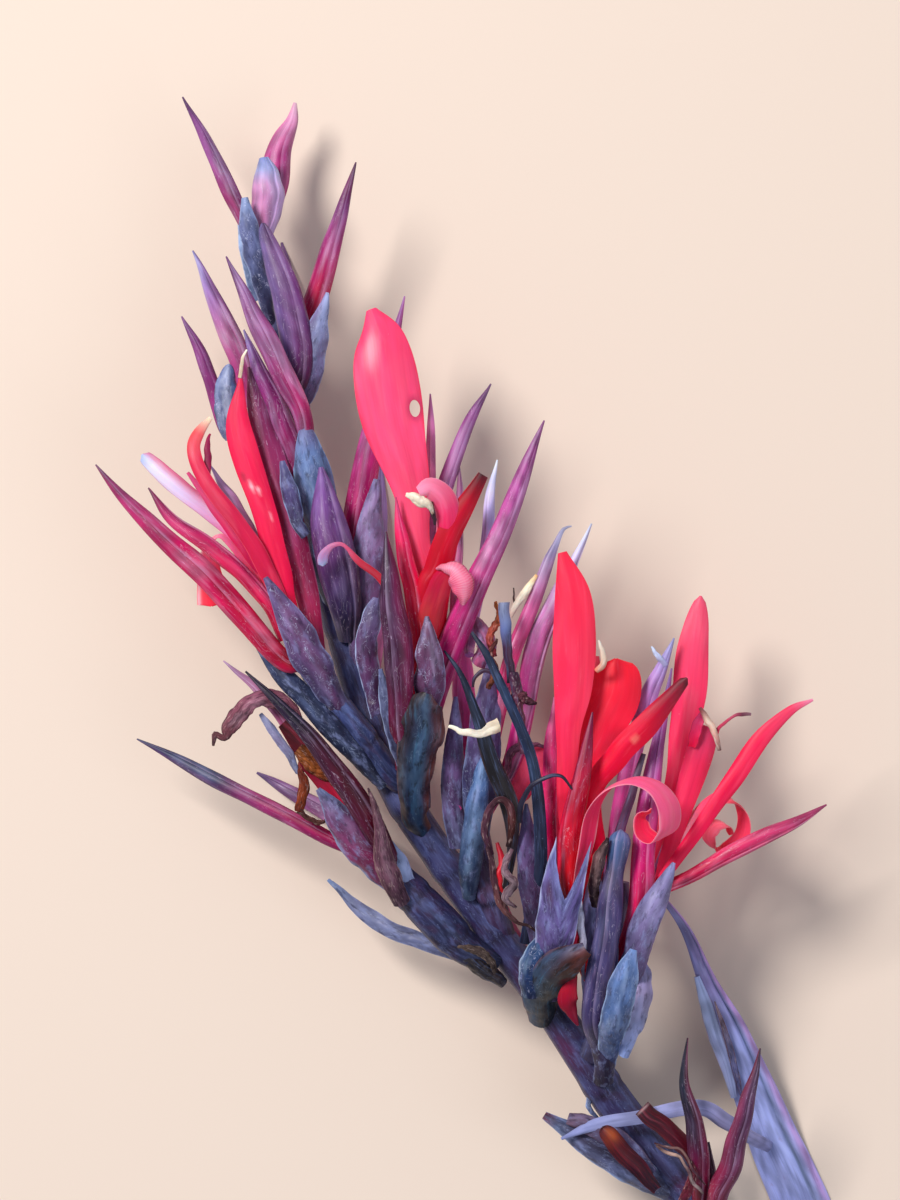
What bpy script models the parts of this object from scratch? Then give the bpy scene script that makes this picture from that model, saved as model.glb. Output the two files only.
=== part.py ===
"""Canna lily: one picked flowering stem, lying on the surface that its lowest leaf and petals touch.

The layout is in millimetres: X across the stem's sweep, Y towards the flower tips, Z up from the
surface. Every piece is a section carried along a smooth route from its base to its tip.
"""

import bmesh
import bpy
import numpy as np
from mathutils import Matrix, Vector
from mathutils.bvhtree import BVHTree

MM = 0.001
SEAT_GAP = 0.3  # clearance between a piece and what carries it
SPIKE_DEPTH = 0.72  # a rolled petal's depth as a share of its width
PETAL_THICKNESS = 0.8
BRACT_THICKNESS = 1.0
LEAF_THICKNESS = 1.2
TIP_SIZE = 0.35  # smallest width or thickness at a point
THICKNESS_LIMIT = 0.5  # a blade is at most this share of its own width thick, so its tip thins out
CREASE_ANGLE = 50.0  # edges sharper than this, in degrees, stay crisp
STEM_SIDES = 10
SPIKE_SIDES = 6
SPAN_STEPS = 16  # curve samples between two route points
BLADE_ACROSS = (-1.0, -0.5, 0.0, 0.5, 1.0)

# Finishes: base colour, roughness.
FINISHES = {
    "stem_skin": ((0.058, 0.050, 0.115), 0.55),
    "bract_skin": ((0.150, 0.160, 0.290), 0.60),
    "spike_skin": ((0.320, 0.085, 0.200), 0.50),
    "petal_skin": ((0.860, 0.040, 0.075), 0.45),
    "leaf_skin": ((0.280, 0.290, 0.520), 0.60),
    "dry_skin": ((0.190, 0.085, 0.055), 0.80),
}

# Every route point is (x, y, z, width). Stems and their branches, from the cut end up.
STEMS = {
    "main_stem": [
        (82, -157, 5, 11), (70, -138.5, 9, 10.5), (53.6, -118.5, 14, 10.2), (38.9, -100, 18, 10),
        (29.4, -86, 21, 9.4), (19.6, -71, 24, 9.2), (10, -58.5, 26, 9), (0.8, -46, 27.5, 8.6),
        (-9.6, -31, 28.5, 8.6), (-17.6, -18.5, 29, 8.6), (-23.4, -6, 29, 8.4), (-28, 7.5, 28.5, 8),
        (-31.8, 20, 28, 7.2), (-35.7, 32.5, 27, 6), (-38.3, 45, 26, 5.2), (-41, 60, 25, 4.8),
        (-43.5, 72.5, 24.5, 4.4), (-46, 87.5, 24, 4), (-49, 102.5, 23.5, 3.4), (-52, 114.5, 23, 2.8),
        (-54, 123, 22.5, 2.2),
    ],
    "left_lower_branch": [
        (6.5, -61, 28, 6), (-1, -57, 31, 8.4), (-8, -50, 33, 10), (-15.5, -42, 34, 8.6),
        (-21, -35.5, 35, 7.4), (-25, -29, 36, 5.5),
    ],
    "left_upper_branch": [
        (-15, -17, 32, 5), (-19, -14, 34, 6.2), (-24, -7.5, 36, 6.4), (-31, 2, 38, 6.2),
        (-38, 10, 39, 5.6), (-42.5, 17.5, 40, 4.2),
    ],
    "right_branch": [
        (31, -84, 25, 7), (34, -76, 31, 8), (35, -64, 36, 8), (36, -52, 38, 7.4), (37, -40, 39, 5.5),
    ],
    "centre_branch": [
        (8.5, -54, 27, 6), (6, -46, 31, 6.6), (3.5, -38, 33, 6.6), (2, -25, 34, 5),
    ],
}

# Rolled petals and buds: long pointed solids, oval in section.
SPIKES = {
    "top_spike": [(-53, 117, 26, 3), (-60, 132.5, 27, 4.3), (-66, 145, 28, 3), (-71.8, 155.8, 29, 0.4)],
    "top_bud": [(-52, 118, 20, 3), (-48.5, 133, 17, 6.2), (-46.5, 145, 16, 4.6), (-44, 154.3, 16, 0.9)],
    "round_bud": [(-53, 117, 25, 3), (-50.5, 129, 26.5, 7.3), (-50.5, 136, 26, 6), (-51.5, 140.5, 25, 2)],
    "large_bud": [
        (-44, 80, 28, 4), (-42.5, 88, 34, 8), (-44, 97, 36, 8.6), (-47, 109, 36, 7.2),
        (-50.6, 121, 33.6, 3.6), (-51.2, 124, 33, 1),
    ],
    "top_right_spike": [
        (-47, 90, 24, 4), (-41, 99, 27, 6), (-36.5, 112, 29, 5.8), (-32, 127, 31, 3.6),
        (-28.3, 139.3, 32, 0.4),
    ],
    "upper_left_spike": [
        (-46, 70, 24, 3), (-54, 80, 26, 5), (-58.5, 92.5, 28, 5.8), (-63.8, 105, 29, 4.2),
        (-69.3, 117.3, 30, 0.4),
    ],
    "upper_front_spike": [
        (-41, 64, 30, 3), (-41, 74, 38, 4.8), (-45.5, 84, 41, 6), (-52, 97.5, 42, 5.4),
        (-60.5, 115.3, 41, 0.4),
    ],
    "upper_middle_spike": [
        (-39, 54, 30, 4), (-42.5, 62, 34, 6.4), (-46.5, 73, 36, 6.8), (-51.5, 85, 36, 4.6),
        (-56.3, 97.3, 35, 0.4),
    ],
    "blue_bract_bud": [
        (-30.5, 20, 33, 5), (-31, 29, 39, 8.4), (-33.5, 40, 42, 10.4), (-35.5, 51, 42, 8.6),
        (-37, 63, 41, 1.2),
    ],
    "left_long_spike": [
        (-41, 14, 42, 3), (-47, 15.5, 45, 5.6), (-62, 32.5, 48, 6.3), (-73.5, 43.5, 48.5, 5.5),
        (-84, 53.5, 48, 3.6), (-92.5, 63.5, 47, 0.4),
    ],
    "lower_long_spike": [
        (-22, -34, 34, 3), (-35.5, -29.5, 33, 3.8), (-55, -19.3, 29, 3.8), (-68, -13, 25, 3.8),
        (-83.5, -4.8, 20, 0.4),
    ],
    "lower_dark_petal": [
        (-19, -37, 37, 5), (-26, -22.5, 45, 6.5), (-35, -10, 47, 5.4), (-43, -0.5, 47, 3.6),
        (-55.5, 12.3, 45, 0.5),
    ],
    "centre_back_spike": [
        (-27.5, 14, 30, 4), (-28, 30, 32, 7), (-28.5, 46, 33, 7.5), (-26, 62.5, 34, 7), (-21.3, 85, 34, 4.6),
        (-16.3, 105.8, 34, 0.4),
    ],
    "centre_right_spike": [
        (-14, -12, 36, 4), (-8.5, 8, 44, 7), (0, 30, 50, 7), (7, 45.5, 52, 5.5), (12.5, 60, 53, 4),
        (18.3, 74.3, 53, 0.4),
    ],
    "centre_dark_spike": [
        (-16.5, -12, 38, 4), (-17, 2, 50, 6.6), (-18, 19, 56, 8), (-19.5, 34, 58, 5), (-20.5, 46.8, 58, 0.5),
    ],
    "middle_spike": [
        (2, -27, 33, 3), (11, -8, 38, 4.6), (16.3, 17.5, 41, 5.6), (21, 29, 42, 4.6), (30.3, 49, 41, 0.4),
    ],
    "right_low_spike": [
        (38, -46, 38, 3), (50.5, -40.3, 43, 3.2), (59.3, -35.6, 45, 3.8), (69, -30.4, 46, 4.3),
        (79.3, -25.6, 46, 3.2), (88.5, -20.8, 45, 0.4),
    ],
    "right_tall_spike": [
        (37, -62, 42, 4), (42, -46, 47, 6), (43, -32, 47, 6), (45, -14, 44, 5), (50.3, 13, 42, 0.4),
    ],
    "right_front_spike": [
        (31, -66, 38.5, 3), (25.8, -54, 45, 4), (24.6, -44, 49, 5.2), (25, -28, 53, 6.4), (28, -10, 55, 4),
        (30.5, 2.3, 55, 0.4),
    ],
    "blue_bud": [
        (33, -84, 29, 4), (30.5, -73, 44, 6), (33, -57.5, 50, 7), (35, -43, 52, 7), (37, -27, 52, 3.4),
    ],
    "bottom_dark_spike": [
        (58, -122, 18, 4), (57.5, -111, 26, 5.5), (56, -101, 33, 4.6), (53.5, -90, 36, 2.6),
        (54.3, -79, 38, 0.4),
    ],
    "bottom_red_spike": [
        (60, -128, 16, 4), (63.5, -116, 26, 6), (66.5, -105, 31, 5.4), (69.5, -94, 34, 3.8),
        (72.8, -81.8, 36, 0.4),
    ],
    "under_top_spike": [
        (-46, 86, 23, 3), (-44.5, 93, 13, 5), (-45, 104, 5.5, 4.6), (-46.5, 115, 0.7, 2.6),
        (-47.5, 121, 0.12, 0.6),
    ],
    "under_centre_spike": [
        (-25, 6, 27, 4), (-24, 22, 15, 6), (-23.5, 42, 5.5, 5.4), (-23, 58, 0.9, 3.2),
        (-22.5, 66, 0.12, 0.6),
    ],
    "under_left_spike": [
        (-18, -36, 33, 4), (-25, -31, 18, 5.4), (-36, -24, 7, 5), (-47, -18, 0.9, 3.2),
        (-54, -14, 0.12, 0.6),
    ],
    "under_right_spike": [
        (36, -62, 33, 4), (41, -50, 19, 6), (47, -35, 8, 5.4), (54, -20, 0.9, 3.2), (58, -12, 0.12, 0.6),
    ],
}

# Bracts, petals and leaves: thin cupped blades. "cup" bends the edges back from the upper side,
# and "side" is the way that a curled blade is wide.
BLADES = {
    "top_right_bract": dict(skin="bract_skin", cup=0.22, route=[
        (-45, 76, 26, 4), (-40.5, 84, 33, 6.4), (-38.3, 95, 37, 6), (-35.3, 106.5, 38, 0.8)]),
    "big_blue_bract": dict(skin="bract_skin", cup=0.25, route=[
        (-32.5, 25, 29, 5), (-35, 38, 36, 8.6), (-37.2, 52, 38, 9.6), (-39.6, 64, 39, 8.4),
        (-41, 74, 39, 2.4)]),
    "left_bract": dict(skin="bract_skin", cup=0.25, route=[
        (-30, -1, 38, 4), (-36, 10, 46, 8), (-42, 20.5, 50, 8.2), (-50.5, 35.5, 52, 1.2)]),
    "left_dark_bract": dict(skin="bract_skin", cup=0.25, route=[
        (-21, -16.4, 36, 3), (-31.6, -5, 42, 5.2), (-41.4, 6, 43, 5.4), (-48.2, 13.8, 42, 4),
        (-55.5, 23.8, 40, 0.8)]),
    "lower_bract": dict(skin="bract_skin", cup=0.28, route=[
        (-16, -43, 36, 5), (-25, -33.5, 42, 8.8), (-31, -26, 44, 8), (-37.5, -16.8, 44, 1.2)]),
    "lower_leaf_bract": dict(skin="bract_skin", cup=0.15, route=[
        (2, -60.5, 29, 3), (-12.5, -55.3, 25, 4), (-25, -50, 22, 4), (-35.5, -40.3, 20, 0.8)]),
    "centre_back_bract": dict(skin="bract_skin", cup=0.22, route=[
        (-28, 12, 31, 4), (-26, 28, 37.5, 8), (-25, 45, 40, 7.4), (-23, 60, 40, 1.6)]),
    "centre_front_bract": dict(skin="bract_skin", cup=0.25, route=[
        (-12, -4, 46, 5), (-10, 9, 55, 7.4), (-10, 18, 57, 6), (-10.5, 26, 57, 1)]),
    "green_brown_bract": dict(skin="bract_skin", cup=0.3, route=[
        (-12, -28.4, 31, 5.6), (-13, -21.6, 39.6, 8), (-12.8, -10, 48, 11.4), (-12, -1.4, 51, 12.6),
        (-11.6, 6.4, 52, 6)]),
    "middle_bract": dict(skin="bract_skin", cup=0.28, route=[
        (2, -33, 35, 5), (2.5, -17, 42, 8.6), (4, 0, 44, 7.6), (5, 15, 44, 1.2)]),
    "right_bract": dict(skin="bract_skin", cup=0.28, route=[
        (36.5, -74, 37, 5), (40.3, -60, 48, 6.6), (43.9, -49, 52, 7), (47.6, -41.4, 52.4, 5),
        (50.4, -34.8, 52, 0.8)]),
    "right_teal_bract": dict(skin="bract_skin", cup=0.22, route=[
        (34, -88, 27, 4), (35.5, -76, 48, 7), (38, -64, 56, 7), (40.3, -56, 57, 1.6)]),
    "right_green_bract": dict(skin="bract_skin", cup=0.28, route=[
        (18, -77, 27, 6), (18, -68, 43, 10.6), (22.5, -60.5, 53, 8.6), (28.5, -56, 56, 3.6)]),
    "bottom_bract": dict(skin="dry_skin", cup=0.3, thick=BRACT_THICKNESS, route=[
        (52, -120, 17, 5), (41, -113, 26, 8), (30, -106, 28, 6.6), (18.8, -99, 27, 2)]),
    "big_leaf": dict(skin="leaf_skin", cup=0.12, thick=LEAF_THICKNESS, rings=11, route=[
        (84, -152, 3, 11), (88, -142, 1.8, 13.6), (86.5, -130, 1.4, 14.6), (82, -117.5, 1.4, 14),
        (77, -106.3, 3.6, 12.4),
        (71.8, -93, 9, 10.4), (65.8, -78.3, 17, 8), (59.5, -65, 25, 4.6), (54, -52.5, 32, 2.6),
        (48, -44, 37, 1.2)]),
    "ribbon_leaf": dict(skin="leaf_skin", cup=0.1, route=[
        (77, -109.5, 2, 3), (71, -105.5, 15, 3.4), (64.5, -100.8, 25, 4), (57.3, -97, 28, 4),
        (42, -99.5, 29, 3.4),
        (31.5, -101.3, 30, 3), (23, -104.8, 30, 0.7)]),
    "dark_long_leaf": dict(skin="stem_skin", cup=0.12, route=[
        (14, -56, 30, 3), (17.5, -34, 46, 3.2), (15.5, -10, 52, 2.8), (5.5, 13.8, 53, 2),
        (0.5, 22, 52, 0.8)]),
    "left_red_petal": dict(skin="petal_skin", cup=0.1, route=[
        (-41, 16, 41, 3), (-45.5, 30, 43, 4.8), (-47, 38, 43, 5.4), (-52, 55, 43, 6.3), (-57, 72, 42, 6.4),
        (-57, 85, 41, 1)]),
    "left_purple_petal": dict(skin="spike_skin", cup=0.12, route=[
        (-37, 14, 38, 3), (-42, 38, 38.5, 6.8), (-48.5, 62, 38.5, 7.4), (-52.5, 76, 38, 5),
        (-55, 88, 37, 0.7)]),
    "left_curled_petal": dict(skin="petal_skin", cup=0.1, rings=10, route=[
        (-42, 18, 43, 3), (-50.5, 38, 45, 4.4), (-57, 48.3, 46, 4), (-63.8, 57.3, 47, 3.6),
        (-67.2, 63, 47, 3.4), (-68.3, 67.8, 46, 3.2), (-67, 71.4, 44.4, 2.8), (-64.3, 75.2, 42, 1.1)]),
    "centre_red_petal": dict(skin="petal_skin", cup=0.1, rings=9, route=[
        (-13, -3, 42, 4), (-11, 33, 46, 5), (-13, 45, 47, 6.5), (-14.5, 57, 48, 9), (-19, 75, 49, 15.4),
        (-21, 87, 49, 15.8), (-22, 95.5, 48, 11.4), (-24.3, 102, 46, 2.6)]),
    "centre_crimson_petal": dict(skin="petal_skin", cup=0.12, route=[
        (-12, 0, 46, 4), (-11.2, 30, 51.5, 4.6), (-8.4, 37.4, 53, 5.6), (-4.2, 48, 55, 5.8),
        (3.3, 60.8, 56, 2.6)]),
    "centre_curled_petal": dict(skin="petal_skin", cup=0.2, rings=12, route=[
        (-10, 5, 44, 3), (-6.4, 38, 51, 5), (-5.2, 48, 55, 6), (-6.2, 54.4, 57.5, 6.2),
        (-9.6, 57.6, 59, 5), (-12.6, 56.6, 59.4, 2.4)]),
    "right_tall_petal": dict(skin="petal_skin", cup=0.1, rings=9, route=[
        (32, -56, 40, 3), (24.5, -28, 44, 4), (24.3, -5, 47, 5.6), (25.6, 8, 49, 9.4), (26, 20, 50, 11),
        (25.6, 31.3, 50, 9.2), (23, 41.8, 49, 2.2)]),
    "right_round_petal": dict(skin="petal_skin", cup=0.1, route=[
        (35, -52, 38, 3), (27.5, -18, 40, 7.4), (32.2, -2.5, 42, 11.4), (36.2, 7, 43, 12.8),
        (36.3, 14.8, 42, 7.4)]),
    "right_dark_tip_petal": dict(skin="petal_skin", cup=0.14, route=[
        (36, -46, 43, 3), (30, -20, 49, 5), (36.3, -8.8, 52, 6), (44, -0.5, 54, 6), (53.5, 10.8, 55, 2.2)]),
    "right_back_petal": dict(skin="petal_skin", cup=0.1, route=[
        (38, -52, 34, 3), (49.5, -22, 31, 4.2), (53.5, -1.7, 32, 7), (54.8, 6.7, 32.6, 8.7),
        (55.7, 15, 33, 8.6), (56.8, 23.3, 33, 6.4), (57.9, 29.8, 32, 2.8)]),
    "right_long_petal": dict(skin="petal_skin", cup=0.14, rings=9, route=[
        (40, -50, 44, 2.6), (52.5, -32.5, 48, 3), (65, -14.5, 50, 4.6), (72, -4.5, 50, 4.2),
        (79, 2.6, 50, 2.4),
        (84.8, 5.4, 50, 0.6)]),
    "right_curled_petal": dict(skin="petal_skin", cup=0.06, side=(-0.66, -0.3, 0.68), rings=24, route=[
        (26, -52, 44, 2.6), (26.4, -41, 51, 4), (28.2, -31, 55, 5.4), (30.2, -21.6, 56.6, 5.8),
        (34.4, -16, 58, 5.4), (40.4, -14, 59, 5.6), (46, -16, 59.4, 6.6), (49.4, -20.8, 59, 7.6),
        (49.2, -26.2, 58.2, 7.4), (45.8, -29.2, 57, 6.6), (42.6, -27.4, 56, 6), (42.2, -23.6, 55.2, 5.2),
        (44.6, -21.6, 54.6, 4)]),
}

BLADE_RINGS = 8
SPIKE_RINGS = 8
STEM_RINGS = 22
BRANCH_RINGS = 7


def smooth_route(points, count):
    """A Catmull-Rom curve through the points, read at even lengths along it."""
    knots = np.asarray(points, float)
    knots = np.vstack([2 * knots[0] - knots[1], knots, 2 * knots[-1] - knots[-2]])
    step = np.linspace(0, 1, SPAN_STEPS, endpoint=False)[:, None]
    spans = []
    for a, b, c, d in zip(knots, knots[1:], knots[2:], knots[3:]):
        spans.append(0.5 * (2 * b + (c - a) * step + (2 * a - 5 * b + 4 * c - d) * step**2
                            + (3 * b - a - 3 * c + d) * step**3))
    fine = np.vstack([*spans, knots[-2][None]])
    steps = np.linalg.norm(np.diff(fine[:, :3], axis=0), axis=1)
    length = np.concatenate([[0], np.cumsum(steps)])
    even = np.linspace(0, length[-1], count)
    return np.column_stack([np.interp(even, length, column) for column in fine.T])


def unit(rows):
    return rows / np.linalg.norm(rows, axis=1, keepdims=True)


def route_frames(route, side=None):
    """Tangent, side and facing directions at each point of a route."""
    tangent = unit(np.gradient(route[:, :3], axis=0))
    if side is None:
        across = unit(np.cross(tangent, (0.0, 0.0, 1.0)))
    else:
        hint = np.asarray(side, float)
        across = unit(hint - (tangent @ hint)[:, None] * tangent)
    return tangent, across, np.cross(across, tangent)


def round_section(width, depth, sides, grow):
    """Offsets across and along the facing direction of an oval."""
    angle = 2 * np.pi * np.arange(sides) / sides
    return (width / 2 + grow) * np.cos(angle), (depth / 2 + grow) * np.sin(angle)


def blade_section(width, thick, cup, grow):
    """Offsets of a cupped blade: its outer face from edge to edge, then back along its inner face."""
    outer = np.array(BLADE_ACROSS)
    inner = outer[-2:0:-1]
    across = np.concatenate([outer, inner])
    skin = np.concatenate([np.full(len(outer), 0.5), np.full(len(inner), -0.5)])
    skin[[0, len(outer) - 1]] = 0
    sideways = across * (width / 2 + grow)
    return sideways, skin * (thick + 2 * grow) - cup * width * (2 * sideways / width) ** 2


def loft(rings, name):
    """One closed body from a stack of rings, capped at both ends."""
    body = bmesh.new()
    rows = [[body.verts.new(point) for point in ring * MM] for ring in rings]
    for lower, upper in zip(rows, rows[1:]):
        for i in range(len(lower)):
            after = (i + 1) % len(lower)
            body.faces.new((lower[i], lower[after], upper[after], upper[i]))
    body.faces.new(rows[0][::-1])
    body.faces.new(rows[-1])
    bmesh.ops.recalc_face_normals(body, faces=body.faces[:])
    bmesh.ops.triangulate(body, faces=body.faces[:])
    mesh = bpy.data.meshes.new(name)
    body.to_mesh(mesh)
    body.free()
    soften(mesh)
    return mesh


def soften(mesh):
    mesh.shade_smooth()
    mesh.set_sharp_from_angle(angle=np.radians(CREASE_ANGLE))


def piece_rings(piece, grow):
    """The piece's sections in layout millimetres, grown on every side by the given clearance."""
    route = smooth_route(piece["route"], piece["rings"])
    tangent, across, facing = route_frames(route, piece.get("side"))
    centre = route[:, :3].copy()
    centre[0] -= tangent[0] * grow
    centre[-1] += tangent[-1] * grow
    rings = []
    for place, sideways, out, width in zip(centre, across, facing, route[:, 3]):
        width = max(width, TIP_SIZE)
        if piece["shape"] == "blade":
            thick = max(min(piece["thick"], THICKNESS_LIMIT * width), TIP_SIZE)
            u, v = blade_section(width, thick, piece["cup"], grow)
        else:
            depth = max(width * piece["depth"], TIP_SIZE)
            u, v = round_section(width, depth, piece["sides"], grow)
        ring = place + u[:, None] * sideways + v[:, None] * out
        ring[:, 2] = np.maximum(ring[:, 2], -grow)
        rings.append(ring)
    return rings


def make_finish(skin):
    colour, roughness = FINISHES[skin]
    finish = bpy.data.materials.new(skin)
    finish.use_nodes = True
    shader = finish.node_tree.nodes["Principled BSDF"]
    shader.inputs["Base Color"].default_value = (*colour, 1.0)
    shader.inputs["Roughness"].default_value = roughness
    return finish


def largest_body(mesh):
    """Keep only the biggest of the closed bodies that a cut may leave."""
    body = bmesh.new()
    body.from_mesh(mesh)
    waiting = set(body.verts)
    groups = []
    while waiting:
        stack = [waiting.pop()]
        group = set(stack)
        while stack:
            for edge in stack.pop().link_edges:
                for vert in edge.verts:
                    if vert in waiting:
                        waiting.remove(vert)
                        group.add(vert)
                        stack.append(vert)
        groups.append(group)
    if len(groups) > 1:
        def area(group):
            return sum(face.calc_area() for face in body.faces if face.verts[0] in group)

        groups.sort(key=area)
        spare = [vert for group in groups[:-1] for vert in group]
        bmesh.ops.delete(body, geom=spare, context="VERTS")
    bmesh.ops.triangulate(body, faces=body.faces[:])
    body.to_mesh(mesh)
    body.free()
    soften(mesh)


def surface_tree(mesh):
    points = [vert.co for vert in mesh.vertices]
    return BVHTree.FromPolygons(points, [face.vertices for face in mesh.polygons])


def cut_clear(target, cutters):
    """Cut the target back from each grown neighbour that it meets."""
    guides = []
    for name, grown in cutters:
        if not surface_tree(target.data).overlap(surface_tree(grown)):
            continue
        guide = bpy.data.objects.new(f"clearance_{name}", grown)
        guide.hide_render = True
        guide.display_type = "WIRE"
        bpy.context.scene.collection.objects.link(guide)
        cut = target.modifiers.new(f"clear_{name}", "BOOLEAN")
        cut.operation = "DIFFERENCE"
        cut.solver = "EXACT"
        cut.object = guide
        guides.append(guide)
    if guides:
        graph = bpy.context.evaluated_depsgraph_get()
        trimmed = bpy.data.meshes.new_from_object(target.evaluated_get(graph))
        target.modifiers.clear()
        target.data = trimmed
        largest_body(trimmed)
    for guide in guides:
        bpy.data.objects.remove(guide)


def full_piece(name, shape, spec):
    """A piece's settings with the defaults of its kind filled in."""
    piece = dict(name=name, **spec)
    if shape == "blade":
        piece.setdefault("thick", BRACT_THICKNESS if spec["skin"] == "bract_skin" else PETAL_THICKNESS)
        piece.setdefault("rings", BLADE_RINGS)
    piece["shape"] = shape
    return piece


def all_pieces():
    """Pieces in the order they are seated: a later one is cut back from the earlier ones."""
    pieces = []
    for name, route in STEMS.items():
        rings = STEM_RINGS if name == "main_stem" else BRANCH_RINGS
        pieces.append(full_piece(name, "round", dict(
            skin="stem_skin", depth=1.0, sides=STEM_SIDES, rings=rings, route=route)))
    for name, spec in BLADES.items():
        if spec["skin"] != "petal_skin":
            pieces.append(full_piece(name, "blade", spec))
    for name, route in SPIKES.items():
        pieces.append(full_piece(name, "round", dict(
            skin="spike_skin", depth=SPIKE_DEPTH, sides=SPIKE_SIDES, rings=SPIKE_RINGS, route=route)))
    for name, spec in BLADES.items():
        if spec["skin"] == "petal_skin":
            pieces.append(full_piece(name, "blade", spec))
    return pieces


def clear_scene():
    for old in list(bpy.data.objects):
        bpy.data.objects.remove(old)


def centre_on_surface(solids):
    """Move the whole stem so that its box is centred over the origin and its lowest point is at zero."""
    points = np.array([vert.co for solid in solids for vert in solid.data.vertices])
    low, high = points.min(axis=0), points.max(axis=0)
    shift = Vector((-(low[0] + high[0]) / 2, -(low[1] + high[1]) / 2, -low[2]))
    for solid in solids:
        solid.data.transform(Matrix.Translation(shift))


def main():
    clear_scene()
    finishes = {skin: make_finish(skin) for skin in FINISHES}
    seated = []
    solids = []
    for piece in all_pieces():
        name = piece["name"]
        solid = bpy.data.objects.new(name, loft(piece_rings(piece, 0.0), name))
        bpy.context.scene.collection.objects.link(solid)
        cut_clear(solid, seated)
        solid.data.materials.clear()
        solid.data.materials.append(finishes[piece["skin"]])
        seated.append((name, loft(piece_rings(piece, SEAT_GAP), f"grown_{name}")))
        solids.append(solid)
    centre_on_surface(solids)
    for _, grown in seated:
        bpy.data.meshes.remove(grown)


main()
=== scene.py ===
import re

import bpy
import numpy as np
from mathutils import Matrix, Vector


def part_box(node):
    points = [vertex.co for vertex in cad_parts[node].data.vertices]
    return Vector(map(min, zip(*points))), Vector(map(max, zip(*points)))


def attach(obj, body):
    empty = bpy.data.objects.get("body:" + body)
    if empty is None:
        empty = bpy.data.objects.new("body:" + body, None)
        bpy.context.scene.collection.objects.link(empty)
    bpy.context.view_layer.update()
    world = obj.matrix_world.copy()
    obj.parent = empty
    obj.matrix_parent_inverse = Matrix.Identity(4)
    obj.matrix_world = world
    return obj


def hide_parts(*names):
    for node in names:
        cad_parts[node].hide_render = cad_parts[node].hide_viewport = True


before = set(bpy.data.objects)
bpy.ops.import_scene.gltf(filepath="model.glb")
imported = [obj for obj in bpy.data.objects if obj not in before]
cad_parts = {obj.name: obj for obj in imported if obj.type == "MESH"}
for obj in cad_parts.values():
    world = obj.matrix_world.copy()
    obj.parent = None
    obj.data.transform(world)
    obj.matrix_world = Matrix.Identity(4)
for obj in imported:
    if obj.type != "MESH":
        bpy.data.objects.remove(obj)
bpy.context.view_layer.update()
print("frame loaded:", len(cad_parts), "nodes")

# one millimetre in metres, and the angle from which an edge is drawn sharp
mm = 0.001
sharpAngle = 62
# curve samples from one route point to the next, rings along a piece, and points across each
curveSteps = 16
usualRows, stemRows = 64, 90
rollColumns, bladeColumns, stemColumns = 48, 23, 40
# the least width of a roll and of a sheet, and of a sheet whose tip is rounded (half), in mm
thinnestRoll, thinnestSheet, thinnestRound = 0.28, 0.3, 0.12
# how low a face may lie, and the middle of a sheet
lowestFace, lowestSheet = 0.02, 0.35
# a roll's thickness as a share of its width, the height of its free edge, and the colour of the painted
# highlight along that edge
rollDepth, edgeStep, seamHighlightTone = 0.72, 0.2, "#DCC8EC"
# a sheet's thickness in mm, the share of it lost at the rims, and the depth of its midrib
sheetThick, rimLoss, midrib = 0.42, 0.78, 0.03
# tough pieces are more ragged, wavy and crumpled than petals
leathery = ("bract", "scuffed", "sooty")


def toLinear(text):
    # sRGB to linear: value / 12.92 when dark, else ((value + 0.055) / 1.055) to the power 2.4
    value = np.array([int(text[i : i + 2], 16) for i in (1, 3, 5)]) / 255
    return np.where(value <= 0.04045, value / 12.92, ((value + 0.055) / 1.055) ** 2.4)


def toColour(text):
    return (*toLinear(text).tolist(), 1.0)


def smoothRoute(points, rows):
    # Catmull-Rom curve through the points, then read at even lengths along it
    knots = np.asarray(points, float)
    knots = np.vstack([2 * knots[0] - knots[1], knots, 2 * knots[-1] - knots[-2]])
    t = np.linspace(0, 1, curveSteps, endpoint=False)[:, None]
    spans = [
        0.5 * (2 * b + (c - a) * t + (2 * a - 5 * b + 4 * c - d) * t**2 + (3 * b - a - 3 * c + d) * t**3)
        for a, b, c, d in zip(knots, knots[1:], knots[2:], knots[3:])
    ]
    fine = np.vstack([*spans, knots[-2][None]])
    length = np.concatenate([[0], np.cumsum(np.linalg.norm(np.diff(fine[:, :3], axis=0), axis=1))])
    even = np.linspace(0, length[-1], rows)
    return np.column_stack([np.interp(even, length, column) for column in fine.T]), length[-1]


def unit(rows):
    return rows / np.maximum(np.linalg.norm(rows, axis=-1, keepdims=True), 1e-9)


def routeFrames(route, sideHint=None):
    # across = tangent x up (or the hint made square to the tangent), facing = across x tangent
    tangent = unit(np.gradient(route[:, :3], axis=0))
    if sideHint is None:
        across = unit(np.cross(tangent, (0.0, 0.0, 1.0)))
    else:
        # one hint for the whole piece, or stops of (share along, x, y, z)
        stops = np.atleast_2d(np.asarray(sideHint, float))
        stops = stops if stops.shape[1] == 4 else np.column_stack([[0.0], stops])
        along = np.linspace(0, 1, len(route))
        hint = np.column_stack([np.interp(along, stops[:, 0], stops[:, k]) for k in (1, 2, 3)])
        across = unit(hint - (tangent * hint).sum(axis=1, keepdims=True) * tangent)
    return across, np.cross(across, tangent)


def smoothStep(value, low, high):
    t = np.clip((value - low) / (high - low), 0, 1)
    return t * t * (3 - 2 * t)


def cloud(rng, place, reach):
    # soft field from 0 to 1: nine sines in random directions, their waves about one reach long (mm)
    waves = rng.normal(size=(9, 3)) / np.asarray(reach, float)
    phases = rng.uniform(0, 2 * np.pi, 9)
    total = np.sin(place @ waves.T * np.pi + phases).sum(axis=-1)
    return 0.5 + 0.5 * np.tanh(total / 2.6)


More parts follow.
